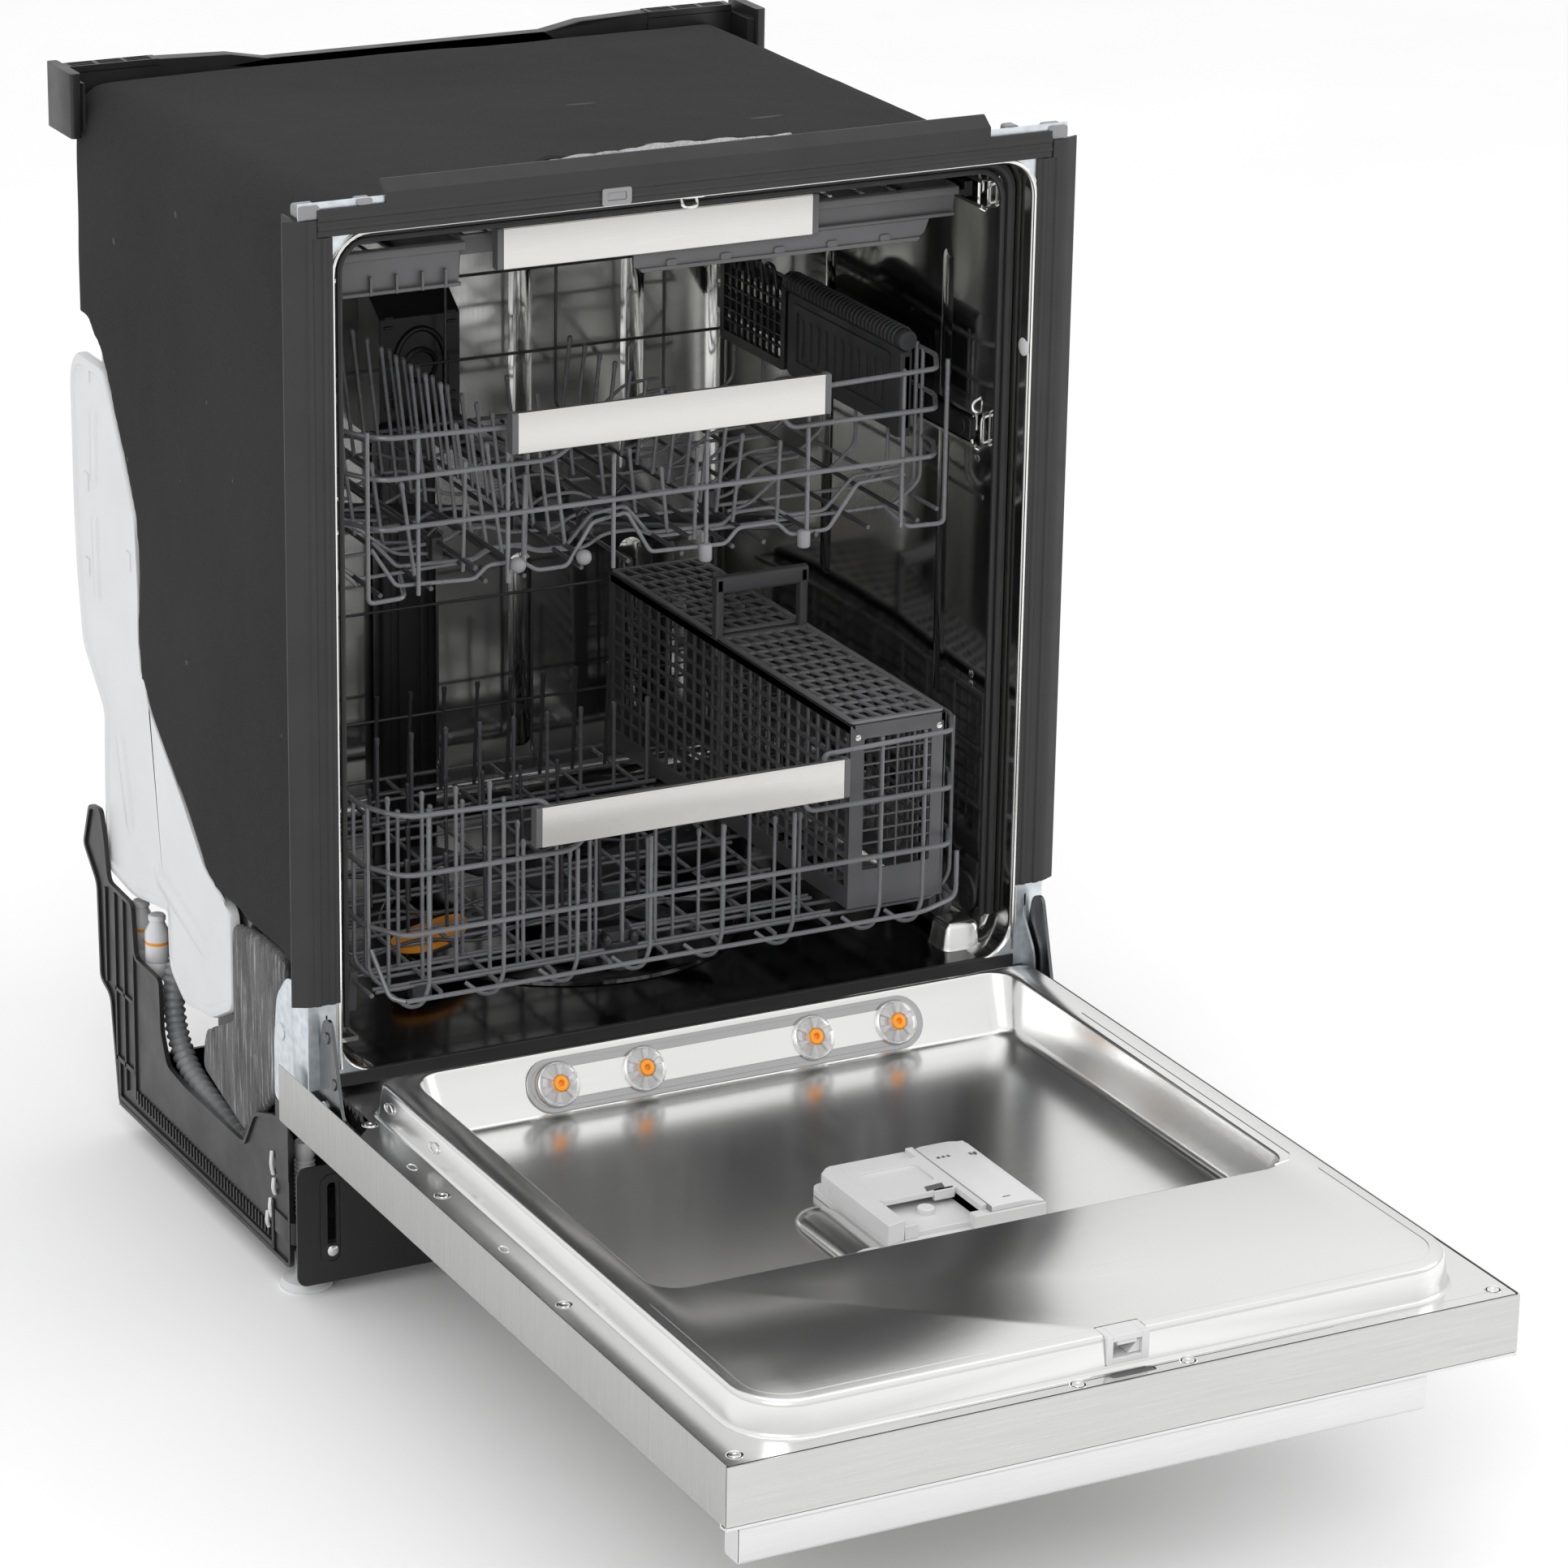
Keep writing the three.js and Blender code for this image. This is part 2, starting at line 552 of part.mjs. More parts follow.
put('door_outer_panel', outerPanelSolid(), BRUSHED());
put('control_panel', controlPanelSolid(), BRUSHED());
put('door_liner', linerSolid(), SATIN());
put('handle_bar', handleSolid(), SATIN());
put('door_latch', box(-8, 12, -641, -628, 205, 216), WHITE_PLASTIC());
for (const [name, side] of SIDES) {
  put(`hinge_arm_${name}`, hingeArmSolid(side), HINGE_STEEL());
}

// steam plate and nozzles sit on the leaning rear wall of the door's hollow
const WALL_ANGLE = Math.atan2(RIM_TOP - POCKET_FLOOR, POCKET_SLOPE);
const steamWall = new THREE.Group();
steamWall.position.set(0, POCKET_REAR - POCKET_SLOPE / 2, (RIM_TOP + POCKET_FLOOR) / 2);
steamWall.rotation.set(WALL_ANGLE, 0, 0);
group.add(steamWall);

const PLATE_HALF = 20;
const NOZZLE_X = [-136, -66, 74.5, 144.5];
put('steam_plate',
  prismZ(roundedOutline(-160, 168.5, -PLATE_HALF - 1, PLATE_HALF - 1, PLATE_HALF - 0.1, 6), GAP, 3),
  SATIN(), steamWall);
NOZZLE_X.forEach((x, i) => {
  const dome = [[0, 3 + GAP], [17, 3 + GAP], [17, 6], [14, 9], [5, 10.5], [0, 10.5]];
  put(`steam_nozzle_${i + 1}`, turned(dome, x, -1, 0, 20), CLEAR(), steamWall);
});

// ---------------------------------------------------------------- dispenser
const DISP = { x0: -38, x1: 88, y0: -394, y1: -273, z0: POCKET_FLOOR + GAP, deck: 195.5, lids: 200.5 };
const WELL = { x0: -19, x1: 38, y0: -383, y1: -300, z0: 183 };
const COVER_Y = [-350, -292]; // the detergent cover slides forward over the well to shut it

function dispenserBodySolid() {
  const base = prismZ(roundedOutline(DISP.x0, DISP.x1, DISP.y0, DISP.y1, 10, 2), DISP.z0, DISP.deck);
  const leftWall = box(DISP.x0 + 1, WELL.x0 - 4, -387, -284, 190, DISP.lids);
  const well = box(WELL.x0, WELL.x1, WELL.y0, WELL.y1, WELL.z0, DISP.lids);
  return cut(joined(base, leftWall), well);
}

put('dispenser_body', dispenserBodySolid(), PALE_GREY());
put('dispenser_lid',
  box(WELL.x0 - 3.7, WELL.x1 + 2.7, ...COVER_Y, DISP.deck + GAP, 200), PALE_GREY());
put('rinse_aid_lid',
  box(WELL.x1 + 6, DISP.x1 - 2, DISP.y0 + 4, DISP.y1 - 4, DISP.deck + GAP, DISP.lids), PALE_GREY());

// ---------------------------------------------------------------- racks
function wireX(x0, x1, y, z, t = WIRE) {
  return box(x0, x1, y - t / 2, y + t / 2, z - t / 2, z + t / 2);
}
function wireY(x, y0, y1, z, t = WIRE) {
  return box(x - t / 2, x + t / 2, y0, y1, z - t / 2, z + t / 2);
}
function wireZ(x, y, z0, z1, t = WIRE) {
  return box(x - t / 2, x + t / 2, y - t / 2, y + t / 2, z0, z1);
}

// hoop of wire round the basket, with its two front corners cut off
function ring(y0, y1, z, t = WIRE) {
  const loop = (grow) => {
    const x = RACK_X + grow;
    return [
      [-x + CORNER_X, y0 - grow], [x - CORNER_X, y0 - grow], [x, y0 + CORNER_Y - grow / 2],
      [x, y1 + grow], [-x, y1 + grow], [-x, y0 + CORNER_Y - grow / 2],
    ];
  };
  return prismZ(loop(t / 2), z - t / 2, z + t / 2, [loop(-t / 2)]);
}

function basketFrame({ y0, y1, levels, postsX, postsY, lengthways, across }) {
  const low = levels[0];
  const high = levels[levels.length - 1];
  const pieces = levels.map((z) => ring(y0, y1, z));
  for (const x of postsX) {
    for (const y of [y0, y1]) {
      pieces.push(wireZ(x, y, low - 0.9, high + 0.7, POST));
    }
  }
  for (const y of postsY) {
    for (const x of [-RACK_X, RACK_X]) {
      pieces.push(wireZ(x, y, low - 0.9, high + 0.7, POST));
    }
  }
  for (const x of lengthways) {
    pieces.push(wireY(x, y0, y1, low + 0.9, POST));
  }
  for (const y of across) {
    pieces.push(wireX(-RACK_X, RACK_X, y, low - 0.2, CROSS));
  }
  return joined(...pieces);
}

function rackHandle(y, top) {
  const bar = box(-HANDLE_X, HANDLE_X, y, y + 5, top - HANDLE_H, top);
  const grip = box(-HANDLE_X, HANDLE_X, y, y + 14, top - 3.5, top);
  return joined(bar, grip);
}

// lower rack: frame, wheel stubs, handle, wheels, folding tines
const LOWER = { y0: 6, y1: 450, levels: [255, 306, 352, 398] };
const lowerFrame = basketFrame({
  ...LOWER,
  postsX: [-160, -80, 0, 80, 160],
  postsY: [80, 190, 300, 400],
  lengthways: [-190, -130, -70, -10, 50, 110],
  across: [86, 196, 306, 394],
});
const WHEEL_Y = [70, 390];
const stubs = SIDES.flatMap(([, side]) => WHEEL_Y.map((y) =>
  sideBox(side, RACK_X - 1, 249.4, y - 5, y + 5, WHEEL_Z - 5, 257)));
const HANDLE_BACK = -12.7 + 5;
const lowerStays = SIDES.map(([, side]) =>
  sideBox(side, 112, 118, HANDLE_BACK + GAP, LOWER.y0 + 1, 376, 386));
const stayPosts = SIDES.map(([, side]) => sideBox(side, 112.5, 117.5, 4.5, 7.5, 351, 399));
put('lower_rack', joined(lowerFrame, ...stubs, ...lowerStays, ...stayPosts), COATED_WIRE());
put('lower_rack_handle', rackHandle(-12.7, 395.8), SATIN());
for (const [name, side] of SIDES) {
  WHEEL_Y.forEach((y, i) => {
    const near = side * 249.8;
    const far = side * 259.4;
    put(`rack_wheel_${name}_${i + 1}`,
      cylinderX(Math.min(near, far), Math.max(near, far), y, WHEEL_Z, WHEEL_R, 18), GREY_PLASTIC());
  });
}

const TINE = { y: 340, x0: -190, pitch: 29.5, count: 12, axis: 261.5, top: 334 };
const tines = [];
for (let i = 0; i < TINE.count; i += 1) {
  tines.push(wireZ(TINE.x0 + i * TINE.pitch, TINE.y, TINE.axis - 1.5, TINE.top, 3.2));
}
put('lower_tines', joined(wireX(-200, 142, TINE.y, TINE.axis, 4), ...tines), COATED_WIRE());

// cutlery basket stands along the right of the lower rack
const BASKET = { x0: 149, x1: 231, y0: 24, y1: 440, z0: 259, z1: 407 };
function basketSolid() {
  const outer = box(BASKET.x0, BASKET.x1, BASKET.y0, BASKET.y1, BASKET.z0, BASKET.z1);
  const room = (y0, y1) => box(BASKET.x0 + 2.5, BASKET.x1 - 2.5, y0, y1, BASKET.z0 + 3, BASKET.z1 + 1);
  const posts = [[BASKET.x0, BASKET.x0 + 7], [BASKET.x1 - 7, BASKET.x1]].map(([a, b]) =>
    box(a, b, 250, 258, BASKET.z1 - 10, 458));
  const grip = box(BASKET.x0, BASKET.x1, 250, 258, 444, 458);
  return joined(cut(outer, room(26.5, 248), room(260, 437.5)), ...posts, grip);
}
put('cutlery_basket', basketSolid(), BASKET_GREY());
put('basket_lid_front',
  box(BASKET.x0 + 1, BASKET.x1 - 1, 25, 248, BASKET.z1 + GAP, BASKET.z1 + 3), BASKET_GREY());
put('basket_lid_rear',
  box(BASKET.x0 + 1, BASKET.x1 - 1, 260, 439, BASKET.z1 + GAP, BASKET.z1 + 3), BASKET_GREY());

// upper rack with its height adjusters and cup shelf
const UPPER = { y0: 44, y1: 432, levels: [553, 604, 641, 672] };
const upperFrame = basketFrame({
  ...UPPER,
  postsX: [-160, -80, 0, 80, 160],
  postsY: [130, 240, 350],
  lengthways: [-190, -130, -70, 60, 120, 180],
  across: [136, 250, 356],
});
const feed = box(-11, 11, UPPER_ARM_Y - 14, 437, 540, 553);
const upperStays = SIDES.map(([, side]) => sideBox(side, 112, 118, 34 + GAP, UPPER.y0 + 1, 667, 675));
put('upper_rack', joined(upperFrame, feed, ...upperStays), COATED_WIRE());
put('upper_rack_handle', rackHandle(29, 683.2), SATIN());
for (const [name, side] of SIDES) {
  const housing = sideBox(side, RACK_X + 2 + GAP, 257, 150, 330, 596, 668);
  const runner = sideBox(side, 256, RUNNER_X, 46, 466, 611, 629);
  put(`adjuster_${name}`, joined(housing, runner), BLACK_PLASTIC());
}
function cupShelfSolid() {
  const panel = box(229, 235, 100, 408, 602, 676);
  const barrel = new THREE.CylinderGeometry(8.5, 8.5, 180, 12);
  barrel.translate(230, 190, 680);
  return joined(panel, toSolid(barrel));
}
put('cup_shelf', cupShelfSolid(), BLACK_PLASTIC());

// third rack: shallow trays on a frame that runs in the top rails
function trayShell(x0, x1, y0, y1, z0, z1) {
  return cut(box(x0, x1, y0, y1, z0, z1), box(x0 + 2.5, x1 - 2.5, y0 + 2.5, y1 - 2.5, z0 + 2.5, z1 + 1));
}
function thirdRackSolid() {
  const runners = SIDES.map(([, side]) => sideBox(side, 256, RUNNER_X, 62, 464, 796, 808));
  const ties = SIDES.map(([, side]) => sideBox(side, 249, 257, 62, 464, 798, 802));
  const left = trayShell(-251, -152, 62, 464, 772, 806);
  const middle = trayShell(-152.5, -18, 74, 464, 791, 806);
  const right = trayShell(-18.5, 251, 62, 464, 782, 806);
  const stays = SIDES.map(([, side]) => sideBox(side, 110, 118, 59 + GAP, 64, 796, 806));
  const leftStay = box(-118, -110, 59 + GAP, 76, 796, 806);
  const lip = box(-16, 222, 61, 64.2, 768, 790);
  return joined(left, middle, right, lip, ...runners, ...ties, stays[1], leftStay);
}
put('third_rack', thirdRackSolid(), GREY_PLASTIC());
put('third_rack_handle', rackHandle(54, 813.6), SATIN());

export default group;
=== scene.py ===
"""Looks of a built-in dishwasher, shown with its door dropped open.

Lengths in this file are machine millimetres: x to the right of somebody facing the machine,
y from the face of the tub flange to the back, z up from the floor. at() turns them into the
frame's metres.
"""

import math

import bmesh
import bpy
from mathutils import Matrix, Vector, geometry, noise


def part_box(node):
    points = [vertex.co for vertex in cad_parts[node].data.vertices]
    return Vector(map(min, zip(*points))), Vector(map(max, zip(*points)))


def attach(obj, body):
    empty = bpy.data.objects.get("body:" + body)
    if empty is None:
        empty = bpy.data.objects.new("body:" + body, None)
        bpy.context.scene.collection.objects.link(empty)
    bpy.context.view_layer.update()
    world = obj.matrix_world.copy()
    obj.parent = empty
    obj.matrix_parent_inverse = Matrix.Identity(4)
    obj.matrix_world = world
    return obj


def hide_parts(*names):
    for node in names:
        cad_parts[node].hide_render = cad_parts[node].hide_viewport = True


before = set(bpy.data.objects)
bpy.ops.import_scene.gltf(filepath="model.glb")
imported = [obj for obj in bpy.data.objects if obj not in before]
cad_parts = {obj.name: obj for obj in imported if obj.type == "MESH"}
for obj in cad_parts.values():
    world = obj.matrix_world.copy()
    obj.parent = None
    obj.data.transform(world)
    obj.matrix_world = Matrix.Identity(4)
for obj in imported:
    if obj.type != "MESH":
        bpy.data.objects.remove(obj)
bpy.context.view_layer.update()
FLANGE_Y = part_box("tub")[0].y  # the flange face, in the frame


def at(x, y, z):
    """Frame position of a point in machine millimetres."""
    return Vector((x / 1000, y / 1000 + FLANGE_Y, z / 1000))


def extent(node):
    """x0, x1, y0, y1, z0, z1 of a CAD node, in machine millimetres."""
    low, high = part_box(node)
    return (low.x * 1000, high.x * 1000, (low.y - FLANGE_Y) * 1000, (high.y - FLANGE_Y) * 1000,
            low.z * 1000, high.z * 1000)


# ------------------------------------------------------------------ materials
class Look:
    """A node material on the Principled shader, in object coordinates."""

    def __init__(self, name, roughness, metallic=0.0, **sockets):
        self.material = bpy.data.materials.new(name)
        self.material.use_nodes = True
        self.tree = self.material.node_tree
        self.shader = self.tree.nodes["Principled BSDF"]
        self.shader.inputs["Roughness"].default_value = roughness
        self.shader.inputs["Metallic"].default_value = metallic
        for key, value in sockets.items():
            self.shader.inputs[key.replace("_", " ")].default_value = value
        self.coords = self.tree.nodes.new("ShaderNodeTexCoord").outputs["Object"]

    def node(self, kind, **inputs):
        made = self.tree.nodes.new(kind)
        for key, value in inputs.items():
            socket = made.inputs[key.replace("_", " ")]
            if isinstance(value, bpy.types.NodeSocket):
                self.tree.links.new(value, socket)
            else:
                socket.default_value = value
        return made

    def noise(self, scale, stretch=(1, 1, 1), detail=3.0, roughness=0.5):
        place = self.node("ShaderNodeMapping", Vector=self.coords, Scale=stretch)
        made = self.node("ShaderNodeTexNoise", Vector=place.outputs[0], Scale=scale, Detail=detail,
                         Roughness=roughness)
        return made.outputs[0]

    def span(self, value, low, high, start=0.3, end=0.7):
        made = self.node("ShaderNodeMapRange", Value=value)
        made.inputs[1].default_value = start
        made.inputs[2].default_value = end
        made.inputs[3].default_value = low
        made.inputs[4].default_value = high
        return made.outputs[0]

    def mix(self, fac, first, second):
        made = self.tree.nodes.new("ShaderNodeMix")
        made.data_type = "RGBA"
        self.tree.links.new(fac, made.inputs[0])
        for socket, value in ((made.inputs[6], first), (made.inputs[7], second)):
            if isinstance(value, bpy.types.NodeSocket):
                self.tree.links.new(value, socket)
            else:
                socket.default_value = (*value, 1)
        return made.outputs[2]

    def paint(self, color):
        self.tree.links.new(color, self.shader.inputs["Base Color"])
        return self

    def gloss(self, value):
        self.tree.links.new(value, self.shader.inputs["Roughness"])
        return self

    def bump(self, height, strength, distance):
        made = self.node("ShaderNodeBump", Height=height, Strength=strength, Distance=distance)
        before = self.shader.inputs["Normal"]
        if before.is_linked:
            self.tree.links.new(before.links[0].from_socket, made.inputs["Normal"])
        self.tree.links.new(made.outputs[0], before)
        return self


def shade(color, factor):
    """The colour made lighter or darker."""
    return tuple(min(1.0, c * factor) for c in color)


def metal(name, color, roughness, grain=(1, 1, 1), streak=0.06, streaks=260.0, cloud=0.06, wave=0.0,
          **sockets):
    """Sheet metal: rolled or brushed streaks along the axis that grain leaves at 1, and slow clouding."""
    look = Look(name, roughness, 1.0, **sockets)
    fine = look.noise(streaks, grain, 4.0, 0.6)
    slow = look.noise(7.0, (1, 1, 1), 2.0)
    tone = look.mix(look.span(slow, 0, 1), shade(color, 1 - cloud), shade(color, 1 + cloud / 2))
    look.paint(look.mix(look.span(fine, 0, 1), tone, shade(color, 1 - streak)))
    look.gloss(look.span(fine, roughness - streak, roughness + streak))
    look.bump(fine, 0.12 * streak / 0.06, 0.0002)
    if wave:
        look.bump(look.noise(9.0, (1, 1, 1), 1.0), wave, 0.004)
    return look.material


def plastic(name, color, roughness, grain=700.0, strength=0.12, vary=0.1, **sockets):
    """Moulded plastic or coating: fine spark-eroded grain and a slight change of tone."""
    look = Look(name, roughness, 0.0, **sockets)
    fine = look.noise(grain, (1, 1, 1), 2.0)
    slow = look.noise(14.0, (1, 1, 1), 3.0)
    look.paint(look.mix(look.span(slow, 0, 1), shade(color, 1 - vary), shade(color, 1 + vary)))
    look.gloss(look.span(look.noise(40.0), roughness * 0.85, roughness * 1.15))
    look.bump(fine, strength, 0.0003)
    return look.material


def felt_look():
    look = Look("felt", 0.95, 0.0, Specular_IOR_Level=0.12)
    slow = look.noise(5.0, (1, 1, 1), 4.0)
    fine = look.noise(1500.0, (1, 1, 1), 3.0, 0.7)
    tone = look.mix(look.span(slow, 0, 1), (0.016, 0.016, 0.0165), (0.025, 0.025, 0.0255))
    speck = look.mix(look.span(fine, 0, 1, 0.35, 0.8), tone, (0.055, 0.055, 0.056))
    scuff = look.span(look.noise(13.0, (1, 6, 6), 1.0, 0.2), 0, 1, 0.80, 0.815)
    look.paint(look.mix(scuff, speck, (0.075, 0.075, 0.078)))
    look.bump(fine, 0.45, 0.0006)
    look.bump(look.noise(60.0, (1, 1, 1), 3.0), 0.3, 0.002)
    return look.material


def fibre_look():
    look = Look("fibre", 0.9, 0.0, Sheen_Weight=0.3)
    strands = look.noise(260.0, (1, 1, 0.05), 5.0, 0.8)
    tufts = look.noise(60.0, (1, 1, 0.2), 3.0, 0.6)
    dark = look.mix(look.span(tufts, 0, 1, 0.44, 0.56), (0.003, 0.003, 0.0035), (0.06, 0.06, 0.064))
    look.paint(look.mix(look.span(strands, 0, 1, 0.54, 0.68), dark, (0.46, 0.46, 0.48)))
    look.bump(strands, 0.9, 0.003)
    return look.material


def foil_look():
    look = Look("silver_fibre", 0.55, 0.35)
    fine = look.noise(900.0, (1, 1, 1), 5.0, 0.8)
    look.paint(look.mix(look.span(fine, 0, 1, 0.35, 0.65), (0.2, 0.2, 0.21), (0.75, 0.76, 0.78)))
    look.bump(fine, 0.8, 0.002)
    return look.material


def zinc_look():
    look = Look("galvanised", 0.38, 1.0)
    place = look.node("ShaderNodeMapping", Vector=look.coords, Scale=(1, 1, 1))
    spangle = look.node("ShaderNodeTexVoronoi", Vector=place.outputs[0], Scale=160.0)
    look.paint(look.mix(spangle.outputs["Distance"], (0.55, 0.60, 0.64), (0.74, 0.78, 0.81)))
    look.gloss(look.span(look.noise(30.0), 0.3, 0.5))
    look.bump(look.noise(300.0), 0.08, 0.0003)
    return look.material


ACROSS = (0.02, 1, 1)  # grain that runs along x
UPRIGHT = (1, 1, 0.02)  # grain that runs up the machine
TUB = metal("tub_steel", (0.64, 0.64, 0.62), 0.12, UPRIGHT, 0.012, 300.0, 0.05, 0.10)
# the tub floor and sump dish are the tub's polished steel painted far darker: painted shade and painted
# dark reflection
SHADED_FLOOR_STEEL = metal("tub_floor_steel_painted_shade", (0.10, 0.10, 0.10), 0.13, ACROSS, 0.03, 300.0, 0.08, 0.2)
# the door skin is the control strip's brushed steel painted darker: painted shade on the door's sides
SHADED_DOOR_STEEL = metal("door_steel", (0.50, 0.497, 0.487), 0.32, UPRIGHT, 0.08, 900.0, 0.04)
DOOR_FRONT = metal("door_face_steel", (0.62, 0.617, 0.61), 0.32, ACROSS, 0.08, 900.0, 0.04)
LINER = metal("liner_steel", (0.82, 0.82, 0.81), 0.215, ACROSS, 0.02, 700.0, 0.04, 0.05)
HANDLE = metal("handle_silver", (0.78, 0.78, 0.78), 0.34, ACROSS, 0.05, 900.0, 0.03)
RACK_STEEL = metal("rack_handle_steel", (0.69, 0.68, 0.66), 0.30, ACROSS, 0.03, 1500.0, 0.03)
ZINC = zinc_look()
DARK_STEEL = metal("hinge_steel", (0.16, 0.165, 0.17), 0.28, UPRIGHT, 0.05, 200.0, 0.15)
BRIGHT = metal("screw_steel", (0.82, 0.82, 0.80), 0.2, ACROSS, 0.04, 500.0)
FELT = felt_look()
FIBRE = fibre_look()
FOIL = foil_look()
TRIM = plastic("trim_grey", (0.030, 0.030, 0.031), 0.5, 500.0, 0.1, Specular_IOR_Level=0.3)
BLACK = plastic("black_plastic", (0.011, 0.011, 0.012), 0.38, 500.0, 0.1)
DARK = plastic("dark_grey_plastic", (0.026, 0.027, 0.029), 0.42, 600.0, 0.1)
GREY = plastic("tray_plastic", (0.105, 0.106, 0.11), 0.45, 600.0, 0.12)
WHITE = plastic("white_plastic", (0.67, 0.675, 0.685), 0.35, 300.0, 0.05, 0.03)
PALE = plastic("pale_plastic", (0.66, 0.66, 0.66), 0.32, 300.0, 0.04, 0.03)
WIRE = plastic("coated_wire", (0.135, 0.137, 0.148), 0.28, 260.0, 0.12, 0.14, Coat_Weight=0.25)
DARK_WIRE = plastic("shaded_wire", (0.045, 0.045, 0.050), 0.32, 260.0, 0.12, 0.14, Coat_Weight=0.25)
RUBBER = plastic("seal_rubber", (0.012, 0.012, 0.012), 0.55, 400.0, 0.15)
ORANGE = plastic("orange_plastic", (0.86, 0.31, 0.012), 0.35, 400.0, 0.06)
HOSE = plastic("hose_plastic", (0.24, 0.245, 0.255), 0.4, 400.0, 0.1)
BASKET = plastic("basket_plastic", (0.088, 0.089, 0.094), 0.42, 600.0, 0.12)
PIVOT = plastic("pivot_plastic", (0.24, 0.24, 0.25), 0.4, 400.0, 0.06)
STEAM_GREY = metal("steam_plate_steel", (0.42, 0.42, 0.42), 0.24, ACROSS, 0.04, 700.0)
GLASSY = plastic("dome_plastic", (0.99, 0.99, 0.99), 0.05, 200.0, 0.02, 0.01, Transmission_Weight=0.85,
                 IOR=1.4)
# the lids are the basket's plastic painted lighter: painted reflection of the light from the front
LIT_BASKET_LID = plastic("basket_lid_plastic_painted_light", (0.17, 0.172, 0.178), 0.40, 600.0, 0.12)


# ------------------------------------------------------------------ shapes
def rounded(u0, u1, v0, v1, r, steps=6, far=None):
    """Rounded rectangle as (u, v) points, anticlockwise. far is the radius of its two high-v corners."""
    far = far or r
    points = []
    for u, v, start, radius in ((u1 - r, v0 + r, -90, r), (u1 - far, v1 - far, 0, far),
                                (u0 + far, v1 - far, 90, far),
                                (u0 + r, v0 + r, 180, r)):
        for i in range(steps + 1):
            a = math.radians(start + 90 * i / steps)
            points.append((u + radius * math.cos(a), v + radius * math.sin(a)))
    return points


def around(count, shift=0.0):
    """Cosine and sine of directions evenly spaced round a circle."""
    return [(math.cos(a), math.sin(a)) for a in (math.tau * (k + shift) / count for k in range(count))]


def disc(u, v, r, steps=24):
    return [(u + r * c, v + r * s) for c, s in around(steps)]


def rect(u0, u1, v0, v1):
    return [(u0, v0), (u1, v0), (u1, v1), (u0, v1)]


def beside(sign, near, far):
    """The two x values of a span on the left (-1) or right (1) of the machine, in rising order."""
    return sorted((sign * near, sign * far))


def slot_outline(u, v, half_long, half_wide, degrees=0, steps=6):
    """A slot with round ends about (u, v), turned by so many degrees."""
    a = math.radians(degrees)
    flat = rounded(-half_long, half_long, -half_wide, half_wide, half_wide * 0.999, steps)
    return [(u + p * math.cos(a) - q * math.sin(a), v + p * math.sin(a) + q * math.cos(a)) for p, q in flat]


def bent(points, radius=7, steps=4):
    """A polyline with each inner corner turned into a small bend."""
    points = [Vector(p) for p in points]
    out = [points[0]]
    for a, b, c in zip(points, points[1:], points[2:]):
        r = min(radius, (a - b).length / 2, (c - b).length / 2)
        p = b + (a - b).normalized() * r
        q = b + (c - b).normalized() * r
        out += [p * (1 - t) ** 2 + b * 2 * t * (1 - t) + q * t * t
                for t in (i / steps for i in range(steps + 1))]
    return out + [points[-1]]


def softened(outline, radius, steps):
    """A closed outline with every corner turned into a small bend, as (u, v) points."""
    (a, b), (c, d) = outline[:2]
    start = ((a + c) / 2, (b + d) / 2)
    path = bent([(u, v, 0) for u, v in (start, *outline[1:], outline[0], start)], radius, steps)
    return [(p.x, p.y) for p in path[:-1]]


def inset(outline, by):
    """A closed outline moved inwards by so many millimetres."""
    n = len(outline)
    area = sum(outline[i - 1][0] * outline[i][1] - outline[i][0] * outline[i - 1][1] for i in range(n))
    turn = 1 if area > 0 else -1
    out = []
    for i, (u, v) in enumerate(outline):
        a, b = Vector(outline[i - 1]), Vector(outline[(i + 1) % n])
        here = Vector((u, v))
        first, second = (here - a).normalized(), (b - here).normalized()
        side = Vector((-first.y - second.y, first.x + second.x)) * turn
        side.normalize()
        cosine = max(0.35, abs(side.dot(Vector((-first.y, first.x)))))
        out.append(tuple(here + side * (by / cosine)))
    return out


PLACES = {
    "Z": lambda u, v, w: (u, v, w),
    "Y": lambda u, v, w: (u, w, v),
    "X": lambda u, v, w: (w, u, v),
}


